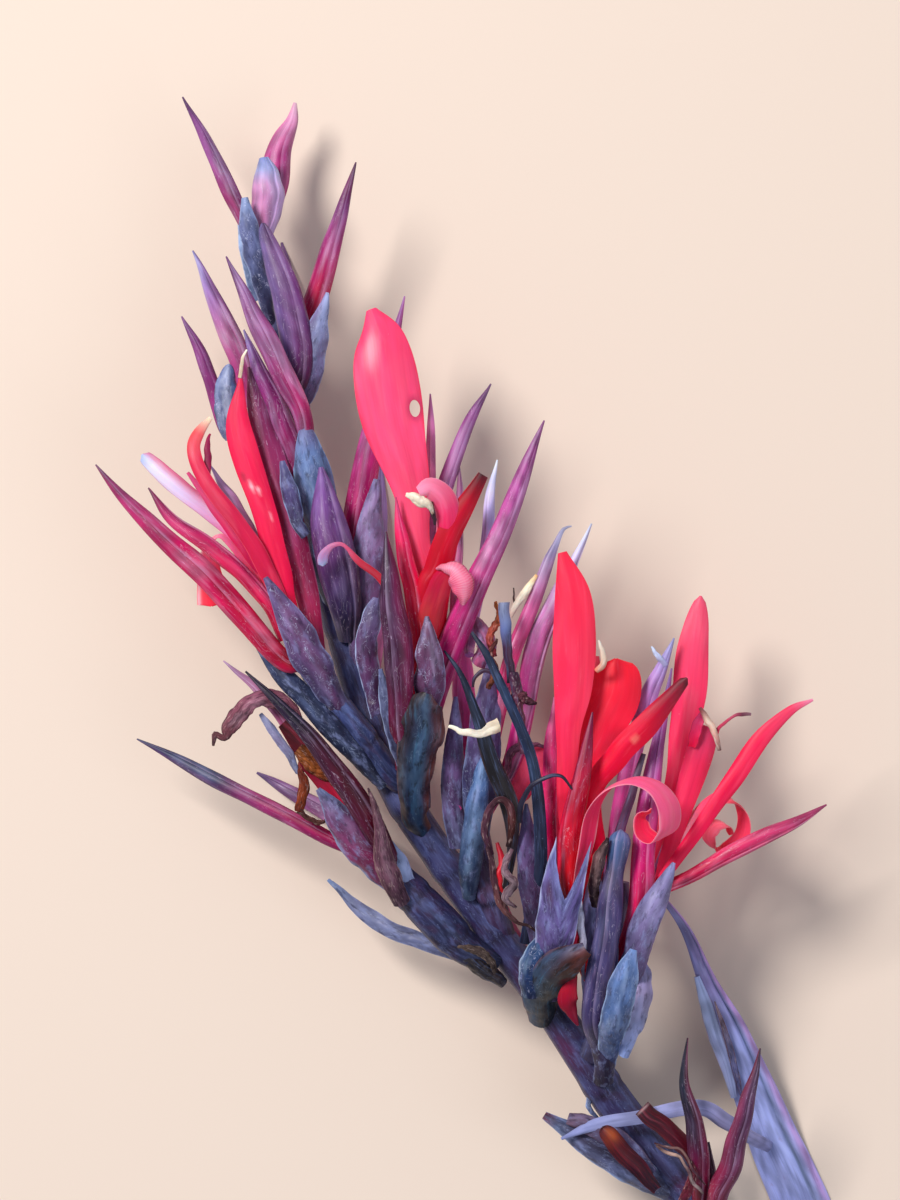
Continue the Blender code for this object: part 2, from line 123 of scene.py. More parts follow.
def wander(rng, along, count, size):
    # a smooth random line along the piece: a few sines of falling height
    orders = np.arange(1, count + 1)
    heights = rng.normal(size=count) / orders**0.7
    phases = rng.uniform(0, 2 * np.pi, count)
    return size * (np.sin(along[:, None] * orders * 2 * np.pi + phases) * heights).sum(axis=1)


def stopsAt(stops, along):
    colours = np.array([toLinear(text) for text in stops.values()])
    return np.stack([np.interp(along, list(stops), colours[:, k]) for k in range(3)], axis=-1)


def blendTo(tone, text, share):
    return tone + (toLinear(text) - tone) * np.clip(share, 0, 1)[..., None]


def paint(look, rng, along, side, upper, inner, place, length, rich):
    # colour of each point: stops from base to tip, then one side darker or lighter, mostly as painted shade
    # and painted light, lengthwise bands, wax bloom along the ridge laid on partly as a painted sheen,
    # mottling, the rim and single marks, each mixed by its share, and at last the colour is moved away from
    # its own grey by the share rich
    petal = look.get("finish") == "petal"
    tone = stopsAt(look["tones"], along)
    # one side mixed toward a colour: a dark one is painted shade on that side, a pale one painted light, and
    # a few pieces give the side its own colour
    if "side" in look:
        text, share = look["side"]
        tone = blendTo(tone, text, smoothStep(side * np.sign(share), -0.2, 0.9) * abs(share))
    local = np.stack([side * place, upper * place, along * length], axis=-1)
    for at, breadth, text, share in look.get("bands", []):
        strip = np.exp(-(((side - at) / breadth) ** 2))
        tone = blendTo(tone, text, strip * share * smoothStep(upper, -0.15, 0.1))
    # the bloom is stronger on the upper face: partly the real wax bloom, partly a painted sheen where the
    # light falls
    if "bloomAndSheen" in look:
        text, share = look["bloomAndSheen"]
        broad = cloud(rng, local, (3.4, 3.4, 14))
        fine = cloud(rng, local, (0.8, 0.8, 4.5))
        cover = smoothStep(0.72 * broad + 0.28 * fine, 0.38, 0.95)
        cover = cover * (0.2 + 0.8 * smoothStep(upper, -0.2, 1.0))
        tone = blendTo(tone, text, cover * share * (0.6 if "finish" in look else 0.42))
    # petals keep an even colour, only a little darker in long streaks
    depth, reach = (0.2, 24) if petal else (0.58, 7)
    mottle = cloud(rng, local, (2.6, 2.6, reach))
    tone = tone * (1 - depth * 0.52 + depth * mottle)[..., None]
    if "bars" in look:
        # fine cross stripes: a sine along the piece, bent a little from rim to rim
        period, text, share = look["bars"]
        bend = 1.5 * cloud(rng, local, (2, 2, 3))
        bars = np.sin(2 * np.pi * (along * length + 0.35 * side**2) / period + bend)
        tone = blendTo(tone, text, smoothStep(bars, 0.1, 0.9) * share * (1 - inner))
    if "inner" in look:
        tone = tone + (toLinear(look["inner"]) - tone) * (inner * 0.85)[..., None]
    if "edge" in look:
        text, breadth, share = look["edge"]
        uneven = cloud(rng, local, (3, 3, 5))
        rim = smoothStep(np.abs(side), 1 - breadth * (0.35 + uneven), 1)
        tone = blendTo(tone, text, rim * share)
    for at, across, reach, breadth, text, share in look.get("spots", []):
        far = ((along - at) / reach) ** 2 + ((side - across) / breadth) ** 2
        tone = blendTo(tone, text, np.exp(-(far**1.5)) * share * (1 - inner))
    tone = tone + rich * (tone - tone.mean(axis=-1, keepdims=True))
    return np.clip(tone, 0.002, 1)


def meshFromRings(name, rings, tone, wrap, along, sheet, gap=None):
    # rings of points joined into quads; a fan of triangles closes each end of a round piece, and
    # a strip from the outer to the inner face each end of a sheet. wrap holds one more column
    # than the rings, so that the flat map (mm round, mm along) runs on over the seam
    rows, columns = rings.shape[:2]
    points = rings.reshape(-1, 3)
    colours = tone.reshape(-1, 3)
    i, j = np.meshgrid(np.arange(rows - 1), np.arange(columns), indexing="ij")
    if gap is not None:
        i, j = i[~gap], j[~gap]
    i, j = i.ravel(), j.ravel()
    here, above = i * columns, (i + 1) * columns
    after = (j + 1) % columns
    quads = np.stack([here + j, above + j, above + after, here + after], axis=1)
    corners = [(i, j), (i + 1, j), (i + 1, j + 1), (i, j + 1)]
    quadMap = np.stack([np.stack([wrap[a, b], along[a]], 1) for a, b in corners], axis=1)
    top = (rows - 1) * columns
    if sheet:
        k = np.arange(columns // 2 - 1)
        base = np.stack([k, k + 1, columns - 2 - k, columns - 1 - k], axis=1)
        tip = top + base[:, ::-1]
    else:
        k = np.arange(columns)
        turn = (k + 1) % columns
        points = np.vstack([points, rings[0].mean(axis=0), rings[-1].mean(axis=0)])
        colours = np.vstack([colours, tone[0].mean(axis=0), tone[-1].mean(axis=0)])
        base = np.stack([np.full(columns, rows * columns), k, turn], axis=1)
        tip = np.stack([np.full(columns, rows * columns + 1), top + turn, top + k], axis=1)
    ends = np.vstack([base, tip])
    endRows = np.repeat([0, rows - 1], len(k))
    endMap = np.stack([wrap[endRows, np.tile(k, 2)], along[endRows]], 1)
    endMap = np.repeat(endMap[:, None], ends.shape[1], axis=1)
    walls, wallMap = gapWalls(gap, rings, wrap, along)
    mesh = bpy.data.meshes.new(name)
    mesh.from_pydata((points * mm).tolist(), [], quads.tolist() + ends.tolist() + walls)
    flat = mesh.uv_layers.new(name="flatMap")
    values = [np.asarray(part, float).reshape(-1, 2) for part in (quadMap, endMap, wallMap)]
    flat.data.foreach_set("uv", np.concatenate(values).astype(np.float32).ravel())
    layer = mesh.color_attributes.new("tone", "FLOAT_COLOR", "POINT")
    opaque = np.column_stack([colours, np.ones(len(colours))])
    layer.data.foreach_set("color", opaque.astype(np.float32).ravel())
    mesh.shade_smooth()
    mesh.set_sharp_from_angle(angle=np.radians(sharpAngle))
    return mesh


def gapWalls(gap, rings, wrap, along):
    # where cells are left out, a wall joins the rim on the outer sheet to the rim on the inner one
    if gap is None:
        return [], []
    columns = rings.shape[1]
    half = columns // 2
    walls = []
    wallMap = []

    def index(i, j):
        return i * columns + j

    for i, j in zip(*np.nonzero(gap[:, : half - 1])):
        corners = [(i, j), (i + 1, j), (i + 1, j + 1), (i, j + 1)]
        beside = [(i, j - 1), (i + 1, j), (i, j + 1), (i - 1, j)]
        for (a, b), other in zip(zip(corners, corners[1:] + corners[:1]), beside):
            if not gap[other]:
                back = [index(place[0], columns - 1 - place[1]) for place in (b, a)]
                walls.append([index(*a), index(*b), *back])
                wallMap.append([(wrap[a], along[a[0]]), (wrap[b], along[b[0]])] * 2)
    return walls, wallMap


def ovalSection(look, rng, rows):
    # radius of a rolled petal: a blunt diamond, 1 / (|cos|^f + |sin|^f)^(1/f), plus one step that
    # grows in a turn so that the free edge stands proud, plus faint lengthwise ridges
    turn = np.linspace(0, 1, rollColumns)[None, :]
    along = np.linspace(0, 1, rows)[:, None]
    seam = rng.uniform(0.12, 0.3) + rng.uniform(-0.1, 0.1) * along
    angle = 2 * np.pi * (turn + seam)
    f = look.get("facet", 1.7)
    lean = 2 * np.pi * rng.uniform(-0.04, 0.04)
    radius = (np.abs(np.cos(angle + lean)) ** f + np.abs(np.sin(angle + lean)) ** f) ** (-1 / f)
    ridges = 0.01 * np.sin(9 * angle + 3 * along + rng.uniform(0, 6))
    return angle, radius * (1 + edgeStep * (turn**2 - 0.5)) + ridges


def roundEnd(along, share):
    # a blunt quarter ellipse, (1 - t^2.5)^0.4, over the last share of the length
    return np.clip(1 - ((along - 1) / share + 1).clip(0) ** 2.5, 0.002, 1) ** 0.4


def keepAbove(points, height):
    points[..., 2] = np.maximum(points[..., 2], height)


def spread(centre, sideways, across, upwards, facing):
    # ring points: centre + sideways * across + upwards * facing
    return centre[:, None] + sideways[..., None] * across[:, None] + upwards[..., None] * facing[:, None]


def rollRings(look, rng):
    # rolled petal: an oval section whose outer turn ends in a free edge, painted with a pale highlight line
    # along it and a painted shadow beside it
    rows, columns = look.get("rows", usualRows), rollColumns
    route, length = smoothRoute(look["route"], rows)
    across, facing = routeFrames(route)
    along = np.linspace(0, 1, rows)
    angle, radius = ovalSection(look, rng, rows)
    width = np.maximum(route[:, 3] * (1 + wander(rng, along, 5, 0.025)), thinnestRoll)
    if "round" in look:
        width = width * roundEnd(along, look["round"])
    depth = np.maximum(width * rollDepth, thinnestRoll)
    middle = route[:, :3] + across * wander(rng, along, 4, 0.16)[:, None]
    middle = middle + facing * wander(rng, along, 4, 0.14)[:, None]
    sideways = width[:, None] / 2 * radius * np.cos(angle)
    upwards = depth[:, None] / 2 * radius * np.sin(angle)
    rings = spread(middle, sideways, across, upwards, facing)
    keepAbove(rings, lowestFace)
    alongGrid = np.repeat(along[:, None], columns, axis=1)
    outside = np.zeros_like(alongGrid)
    tone = paint(look, rng, alongGrid, np.cos(angle), np.sin(angle), outside, width[:, None] / 2, length, 0.1)
    # painted shade: each roll is darker towards its base, where it comes out from among the bracts
    tone = tone * (0.7 + 0.3 * smoothStep(alongGrid, 0.0, 0.3))[..., None]
    turn = np.repeat(np.linspace(0, 1, columns)[None, :], rows, axis=0)
    seamPlace = np.stack([turn * 3, turn * 0, alongGrid * length], axis=-1)
    broken = 0.35 + 0.65 * cloud(rng, seamPlace, (3, 3, 7))
    # painted highlight: a broken pale line along the free edge; painted shadow: a dark strip just beside it
    tone = blendTo(tone, seamHighlightTone, smoothStep(turn, 0.95, 1) * broken * look.get("seamHighlightShare", 0.28))
    tone = tone * (1 - 0.4 * smoothStep(1 - turn, 0.9, 1) * broken)[..., None]
    around = np.linspace(0, 1, columns + 1)[None, :] * np.pi * 0.86 * width.max()
    start = rng.uniform(0, 60)
    return rings, tone, np.repeat(around + start, rows, axis=0), along * length + start


def sheetSides(count):
    # places across a sheet from one rim (1) to the other (-1), closer together at the rims
    even = np.linspace(1, -1, count)
    return np.sin(even * np.pi / 2) * 0.6 + even * 0.4


def bladeRings(look, rng):
    # a sheet with two faces: centre line + side offset + lift, where the lift is the cup
    # (-cup * width * x^2), the midrib, edge waves and grooves, and then crumples; the faces lie
    # half a thickness along the sheet's own normal, and the rims are thin
    rows, columns = look.get("rows", usualRows), look.get("columns", bladeColumns)
    route, length = smoothRoute(look["route"], rows)
    across, facing = routeFrames(route, look.get("sideHint"))
    along = np.linspace(0, 1, rows)
    x = sheetSides(columns)
    tough = look["finish"] in leathery
    ragged = look.get("ragged", 0.05 if tough else 0.03)
    half = np.maximum(route[:, 3], thinnestSheet) / 2
    if "round" in look:
        half = np.maximum(half * roundEnd(along, look["round"]), thinnestRound)
    rightHalf = half * (1 + wander(rng, along, 6, ragged))
    leftHalf = half * (1 + wander(rng, along, 6, ragged))
    lateral = np.where(x[None, :] > 0, rightHalf[:, None], leftHalf[:, None]) * x[None, :]
    lift = -look["cup"] * route[:, 3][:, None] * x[None, :] ** 2
    lift = lift - midrib * half[:, None] * (1 - np.exp(-np.abs(x[None, :]) * 6))
    waveSize, waveCount = look.get("wave", (0.2 if tough else 0.12, 3))
    phase = 2 * np.pi * (waveCount * along[:, None] + 0.2 * np.sign(x)[None, :])
    waves = np.sin(phase + rng.uniform(0, 6))
    fade = np.sin(np.pi * np.clip(along, 0, 1)) ** 0.5
    lift = lift + waveSize * half[:, None] * np.abs(x[None, :]) ** 2.5 * waves * fade[:, None]
    for at, breadth, height in look.get("grooves", []):
        lift = lift + height * np.exp(-(((x[None, :] - at) / breadth) ** 2)) * fade[:, None]
    middle = route[:, :3] + across * wander(rng, along, 4, 0.1)[:, None]
    sheet = spread(middle, lateral, across, lift, facing)
    crumple = look.get("crumple", 0.1 if tough else 0)
    if crumple:
        lengthwise = np.repeat(along[:, None] * length, columns, 1)
        flat = np.stack([lateral, np.zeros_like(lateral), lengthwise], axis=-1)
        rough = cloud(rng, flat, (1.2, 1, 2.2)) - 0.5 + 0.6 * (cloud(rng, flat, (0.5, 1, 1.0)) - 0.5)
        aside = cloud(rng, flat, (2.5, 1, 1.8)) - 0.5
        sheet = sheet + (crumple * 1.8 * rough)[..., None] * facing[:, None]
        sheet = sheet + (crumple * 0.9 * aside)[..., None] * across[:, None]
    keepAbove(sheet, lowestSheet)
    if "notch" in look:
        # a forked end: each column is read along a shorter run, the one at the fork shortest
        depth, fork = look["notch"]
        aside = np.where(x > fork, (x - fork) / (1 - fork), (fork - x) / (1 + fork))[None, :]
        run = along[:, None] * (1 - depth * (1 - aside) ** 0.9) * (rows - 1)
        low = np.minimum(run.astype(int), rows - 2)
        column = np.arange(columns)[None, :]
        sheet = sheet[low, column] + (sheet[low + 1, column] - sheet[low, column]) * (run - low)[..., None]
    normal = unit(np.cross(np.gradient(sheet, axis=0), np.gradient(sheet, axis=1)))
    thick = np.minimum(sheetThick, 0.45 * route[:, 3] + 0.06)[:, None]
    thick = thick * (1 - rimLoss * np.abs(x[None, :]) ** 5)
    outer = sheet + normal * thick[..., None] / 2
    innerSheet = sheet - normal * thick[..., None] / 2
    rings = np.concatenate([outer, innerSheet[:, ::-1]], axis=1)
    keepAbove(rings, lowestFace)
    side = np.repeat(np.concatenate([x, x[::-1]])[None, :], rows, axis=0)
    inner = np.repeat(np.concatenate([np.zeros(columns), np.ones(columns)])[None, :], rows, axis=0)
    alongGrid = np.repeat(along[:, None], 2 * columns, axis=1)
    rich = {"petal": 0.05, "dry": 0.0}.get(look["finish"], -0.05)
    tone = paint(look, rng, alongGrid, side, 1 - np.abs(side), inner, half[:, None], length, rich)
    start = rng.uniform(0, 60)
    wrap = np.concatenate([lateral, lateral[:, ::-1], lateral[:, :1]], axis=1) + start
    return rings, tone, wrap, along * length + start


def stemRings(look, rng):
    # a fleshy stem: a circle with a few blunt ribs, knuckles where a leaf or branch left it, and
    # a sunken ring under each knuckle, darkened there as painted shade
    rows, columns = look.get("rows", stemRows), stemColumns
    route, length = smoothRoute(look["route"], rows)
    across, facing = routeFrames(route)
    along = np.linspace(0, 1, rows)
    angle = 2 * np.pi * np.linspace(0, 1, columns)[None, :]
    ribs = 0.028 * np.sin(5 * angle + 2.5 * along[:, None] + 1)
    ribs = ribs + 0.014 * np.sin(11 * angle - 4 * along[:, None])
    width = route[:, 3] * (1 + wander(rng, along, 8, 0.012))
    dark = np.zeros(rows)
    for at in look["knuckles"]:
        near = (along - at) * length
        width = width + 0.55 * np.exp(-((near / 2.6) ** 2)) - 0.45 * np.exp(-(((near + 2.2) / 0.8) ** 2))
        dark = np.maximum(dark, np.exp(-(((near + 2.0) / 1.1) ** 2)))
    radius = width[:, None] / 2 * (1 + ribs)
    turned = np.cos(angle)[..., None] * across[:, None] + np.sin(angle)[..., None] * facing[:, None]
    rings = route[:, None, :3] + radius[..., None] * turned
    keepAbove(rings, lowestFace)
    alongGrid = np.repeat(along[:, None], columns, axis=1)
    sideGrid = np.repeat(np.cos(angle), rows, axis=0)
    upGrid = np.repeat(np.sin(angle), rows, axis=0)
    outside = np.zeros_like(alongGrid)
    tone = paint(look, rng, alongGrid, sideGrid, upGrid, outside, width[:, None] / 2, length, -0.05)
    local = np.stack([sideGrid * 4, upGrid * 4, alongGrid * length], axis=-1)
    plum = smoothStep(cloud(rng, local, (2.2, 2.2, 6)), 0.62, 0.86)
    tone = blendTo(tone, "#3A2340", plum * 0.55)
    # painted shade: the sunken ring under each knuckle is darkened
    tone = blendTo(tone, "#241C30", dark[:, None] * (0.4 + 0.5 * cloud(rng, local, (2, 2, 2))))
    around = np.linspace(0, 1, columns + 1)[None, :] * np.pi * width.max()
    return rings, tone, np.repeat(around, rows, axis=0), along * length


def addNode(material, kind, values=None, links=None, **settings):
    node = material.node_tree.nodes.new(kind)
    for key, value in settings.items():
        setattr(node, key, value)
    for key, value in (values or {}).items():
        node.inputs[key].default_value = value
    for key, socket in (links or {}).items():
        material.node_tree.links.new(socket, node.inputs[key])
    return node


# sockets of a colour mix node, which share their names with those of its other modes
mixFactor, mixFrom, mixTo, mixResult = 0, 6, 7, 2
# noise for streaks and specks, for scratches, and for the patches that scratches gather in, with
# the limits of a patch and the span of noise that the roughness follows
streakNoise = {"Scale": 1.0, "Detail": 4.0, "Roughness": 0.6}
scratchNoise = {"Scale": 1.0, "Detail": 1.5, "Distortion": 0.9}
patchNoise = {"Scale": 0.5, "Detail": 1.0}
patchLimits = {"From Min": 0.47, "From Max": 0.6}
roughSpan = {"From Min": 0.3, "From Max": 0.7}


def makeFinish(name, finish):
    # the painted tone, then each pattern in turn mixed over it: noise stretched along the piece
    # or scratches, sizes in mm across and along, a low and a high limit, a colour and a share
    material = bpy.data.materials.new(name)
    material.use_nodes = True
    shader = material.node_tree.nodes["Principled BSDF"]

    def add(kind, values=None, links=None, output=0, **settings):
        return addNode(material, "ShaderNode" + kind, values, links, **settings).outputs[output]

    colour = add("Attribute", output="Color", attribute_name="tone")
    flat = add("UVMap", uv_map="flatMap")
    heights = []
    for kind, acrossSize, alongSize, low, high, text, share in finish["patterns"]:
        place = {"Vector": add("Mapping", {"Scale": (1 / acrossSize, 1 / alongSize, 1)}, {"Vector": flat})}
        if kind == "noise":
            value = add("TexNoise", streakNoise, place)
        else:
            # a scratch is where the noise crosses its middle value: |noise - 0.5| close to 0
            field = add("TexNoise", scratchNoise, place)
            apart = add("Math", {1: 0.5}, {0: field}, operation="SUBTRACT")
            value = add("Math", links={0: apart}, operation="ABSOLUTE")
        limits = {"From Min": low, "From Max": high, "To Min": 0.0, "To Max": share}
        factor = add("MapRange", limits, {"Value": value}, interpolation_type="SMOOTHSTEP")
        if kind == "scratch":
            # scratches only gather in patches
            where = add("TexNoise", patchNoise, place)
            patch = add("MapRange", patchLimits, {"Value": where})
            factor = add("Math", links={0: factor, 1: patch}, operation="MULTIPLY")
        mixed = {mixFactor: factor, mixFrom: colour}
        colour = add("Mix", {mixTo: toColour(text)}, mixed, mixResult, data_type="RGBA")
        heights.append(value)
    least, most = finish["roughness"]
    strength, height = finish["bump"]
    rough = add("MapRange", {**roughSpan, "To Min": least, "To Max": most}, {"Value": heights[0]})
    bump = add("Bump", {"Strength": strength, "Distance": height * mm}, {"Height": heights[0]})
    for key, socket in (("Base Color", colour), ("Roughness", rough), ("Normal", bump)):
        material.node_tree.links.new(socket, shader.inputs[key])
    for key, value in finish["shader"].items():
        shader.inputs[key].default_value = value
    return material


finishes = {
    # waxy rolled petal: a dusty wax bloom lies in lengthwise streaks, and handling scuffs it pale
    "waxyPetal": {
        "patterns": [
            ("noise", 0.6, 9, 0.5, 0.72, "#C8A8D4", 0.16),
            ("noise", 0.5, 8, 0.5, 0.72, "#4E1444", 0.24),
            ("noise", 0.3, 2.6, 0.64, 0.7, "#E4CCEA", 0.45),
            ("scratch", 1.6, 5, 0.014, 0.0, "#F4E8F8", 0.22),
            ("noise", 0.4, 0.7, 0.7, 0.74, "#F6EEFA", 0.45),
        ],
        "roughness": (0.34, 0.5), "bump": (0.4, 0.12),
        "shader": {"IOR": 1.45, "Specular IOR Level": 0.36, "Subsurface Weight": 0.06,
                   "Subsurface Scale": 0.001},
    },
    # silky red petal: thin and a little see-through, with fine veins running to the tip
    "silkyPetal": {
        "patterns": [
            ("noise", 0.55, 18, 0.45, 0.75, "#D00C30", 0.18),
            ("noise", 0.8, 14, 0.55, 0.75, "#FF7C92", 0.16),
            ("noise", 1.3, 2.2, 0.72, 0.76, "#FFCCD2", 0.4),
        ],
        "roughness": (0.38, 0.5), "bump": (0.22, 0.08),
        "shader": {"IOR": 1.4, "Specular IOR Level": 0.26, "Sheen Weight": 0.04, "Subsurface Weight": 0.2,
                   "Subsurface Scale": 0.0015},
    },
    # leathery bract: cloudy slate wax over purple, darker where the wax is gone, and dusty specks
    "waxyBract": {
        "patterns": [
            ("noise", 1.6, 4.5, 0.5, 0.68, "#8C98C8", 0.42),
            ("noise", 1.1, 3.6, 0.5, 0.7, "#1A1430", 0.6),
            ("noise", 0.3, 2.8, 0.6, 0.7, "#B4C4E8", 0.32),
            ("scratch", 1.3, 3.2, 0.016, 0.0, "#C0D0EE", 0.3),
            ("noise", 0.4, 0.6, 0.67, 0.72, "#DCE6F8", 0.38),
        ],
        "roughness": (0.38, 0.58), "bump": (0.7, 0.18),
        "shader": {"IOR": 1.45, "Specular IOR Level": 0.34},
    },
    # the same bract skin where it has rubbed: thin curling white scratches over the wax
    "scuffedBract": {
        "patterns": [
            ("noise", 1.6, 4.5, 0.5, 0.7, "#8C94C4", 0.34),
            ("noise", 1.1, 3.6, 0.5, 0.7, "#1C1430", 0.55),
            ("scratch", 0.9, 1.6, 0.026, 0.0, "#CCD2EE", 0.55),
            ("noise", 0.4, 0.6, 0.67, 0.72, "#DCE6F8", 0.4),
        ],
        "roughness": (0.38, 0.58), "bump": (0.6, 0.16),
        "shader": {"IOR": 1.45, "Specular IOR Level": 0.32},
    },
    # bract gone black in the weather: soot over navy, with a few teal streaks left
    "sootyBract": {
        "patterns": [
            ("noise", 0.7, 9, 0.52, 0.7, "#3E7494", 0.32),
            ("noise", 1.4, 4, 0.5, 0.68, "#08080E", 0.75),
            ("scratch", 1.3, 3.2, 0.014, 0.0, "#8CA8BC", 0.25),
            ("noise", 0.35, 0.8, 0.68, 0.73, "#A89080", 0.3),
        ],
        "roughness": (0.36, 0.55), "bump": (0.6, 0.16),
        "shader": {"IOR": 1.45, "Specular IOR Level": 0.34},
    },
    # fleshy stem: indigo skin with fine lengthwise wrinkles, a blue bloom rubbed off in patches
    "fleshyStem": {
        "patterns": [
            ("noise", 0.5, 7, 0.5, 0.7, "#5A6AA0", 0.24),
            ("noise", 1.8, 5, 0.5, 0.68, "#6A78B0", 0.32),
            ("noise", 1.4, 5, 0.52, 0.68, "#1A0E24", 0.55),
            ("scratch", 1.6, 3.4, 0.014, 0.0, "#8E9CC8", 0.35),
            ("noise", 0.4, 0.5, 0.69, 0.73, "#B4BEDC", 0.5),
        ],
        "roughness": (0.34, 0.56), "bump": (0.7, 0.2),
        "shader": {"IOR": 1.45, "Specular IOR Level": 0.38},
    },
    # folded leaf: chalky lavender, with close parallel veins
    "chalkyLeaf": {
        "patterns": [
            ("noise", 0.45, 26, 0.5, 0.68, "#6468A0", 0.36),
            ("noise", 3.2, 12, 0.5, 0.72, "#B0B6EC", 0.4),
            ("noise", 2.2, 5, 0.62, 0.76, "#8A6494", 0.3),
            ("noise", 0.4, 1.2, 0.68, 0.73, "#D4DCF6", 0.45),
        ],
        "roughness": (0.5, 0.66), "bump": (0.5, 0.14),
        "shader": {"IOR": 1.42, "Specular IOR Level": 0.3},
    },
    # dried tissue: papery, wrinkled and dull
    "driedTissue": {
        "patterns": [
            ("noise", 0.35, 2.6, 0.46, 0.66, "#180E16", 0.55),
            ("noise", 0.3, 2.4, 0.56, 0.7, "#DCC0B8", 0.35),
        ],
        "roughness": (0.55, 0.85), "bump": (1.0, 0.35),
        "shader": {"IOR": 1.4, "Specular IOR Level": 0.25},
    },
    # cream stamen and fresh shreds: smooth and soft, with a few tan streaks
    "creamTissue": {
        "patterns": [
            ("noise", 0.5, 5, 0.5, 0.7, "#FFFBEA", 0.4),
            ("noise", 0.4, 2.2, 0.58, 0.72, "#C09468", 0.3),
        ],
        "roughness": (0.5, 0.7), "bump": (0.5, 0.15),
        "shader": {"IOR": 1.4, "Specular IOR Level": 0.25, "Subsurface Weight": 0.1,
                   "Subsurface Scale": 0.001},
    },
    # blackened strap leaf: almost dry, with a blue-black gloss
    "blackenedLeaf": {
        "patterns": [
            ("noise", 0.4, 9, 0.5, 0.7, "#5A6E98", 0.45),
            ("noise", 0.6, 5, 0.52, 0.7, "#0C0A12", 0.6),
            ("noise", 0.35, 1.4, 0.66, 0.72, "#8C9CC0", 0.5),
        ],
        "roughness": (0.3, 0.5), "bump": (0.7, 0.18),
        "shader": {"IOR": 1.45, "Specular IOR Level": 0.42},
    },
}
materials = {name: makeFinish(name, finish) for name, finish in finishes.items()}
print("finishes:", len(materials))

# stems: tones are colours at shares of the length, bloom a wax colour and its share, laid on partly as a
# painted sheen, side a colour on one side (share below 0 on the other), mostly painted shade and painted
# light, knuckles shares of the length
stems = {
    "mainStem": dict(spots=[(0.16, 0.2, 0.008, 0.5, "#6A2450", 0.5), (0.3, -0.5, 0.02, 0.4, "#5A2048", 0.7),
        (0.36, -0.3, 0.018, 0.5, "#54204A", 0.7), (0.33, 0.5, 0.012, 0.4, "#161020", 0.85)],
        bloomAndSheen=("#6674B0", 0.8), side=("#5E6CA0", 0.3), rows=300,
        knuckles=[0.06, 0.17, 0.26, 0.335, 0.41, 0.47, 0.53, 0.6, 0.68, 0.76, 0.84, 0.92],
        tones={0: "#40385E", 0.1: "#2E2848", 0.2: "#363058", 0.35: "#302A52", 0.55: "#2E3058", 0.7: "#34386A",
        1: "#585A88"}, route=[(82, -157, 5, 11), (70, -138.5, 9, 10.5), (53.6, -118.5, 14, 10.2),
        (38.9, -100, 18, 10), (29.4, -86, 21, 9.4), (19.6, -71, 24, 9.2), (10, -58.5, 26, 9),
        (0.8, -46, 27.5, 8.6), (-9.6, -31, 28.5, 8.6), (-17.6, -18.5, 29, 8.6), (-23.4, -6, 29, 8.4),
        (-28, 7.5, 28.5, 8), (-31.8, 20, 28, 7.2), (-35.7, 32.5, 27, 6), (-38.3, 45, 26, 5.2),
        (-41, 60, 25, 4.8), (-43.5, 72.5, 24.5, 4.4), (-46, 87.5, 24, 4), (-49, 102.5, 23.5, 3.4),
        (-52, 114.5, 23, 2.8), (-54, 123, 22.5, 2.2)]),
    "leftLowerBranch": dict(bloomAndSheen=("#7484B8", 0.6), knuckles=[0.3, 0.62], tones={0: "#181A32", 0.4: "#1E2044",
        0.75: "#342650", 1: "#5C2A5C"}, route=[(6.5, -61, 28, 6), (-1, -57, 31, 8.4), (-8, -50, 33, 10),
        (-15.5, -42, 34, 8.6), (-21, -35.5, 35, 7.4), (-25, -29, 36, 5.5)]),
    "leftUpperBranch": dict(bloomAndSheen=("#6C80B8", 0.8), knuckles=[0.4], tones={0: "#262C50", 0.5: "#303A68",
        1: "#3E4C80"}, route=[(-15, -17, 32, 5), (-19, -14, 34, 6.2), (-24, -7.5, 36, 6.4), (-31, 2, 38, 6.2),
        (-38, 10, 39, 5.6), (-42.5, 17.5, 40, 4.2)]),
    "rightBranch": dict(bloomAndSheen=("#7C84B4", 0.8), knuckles=[0.4], tones={0: "#2E2848", 0.5: "#403A62",
        1: "#5A4A78"}, route=[(31, -84, 25, 7), (34, -76, 31, 8), (35, -64, 36, 8), (36, -52, 38, 7.4),
        (37, -40, 39, 5.5)]),
    "centreBranch": dict(bloomAndSheen=("#6C78A8", 0.8), knuckles=[0.4], tones={0: "#3A2C50", 0.5: "#5A3C5E",
        1: "#664474"}, route=[(8.5, -54, 27, 6), (6, -46, 31, 6.6), (3.5, -38, 33, 6.6), (2, -25, 34, 5)]),
}
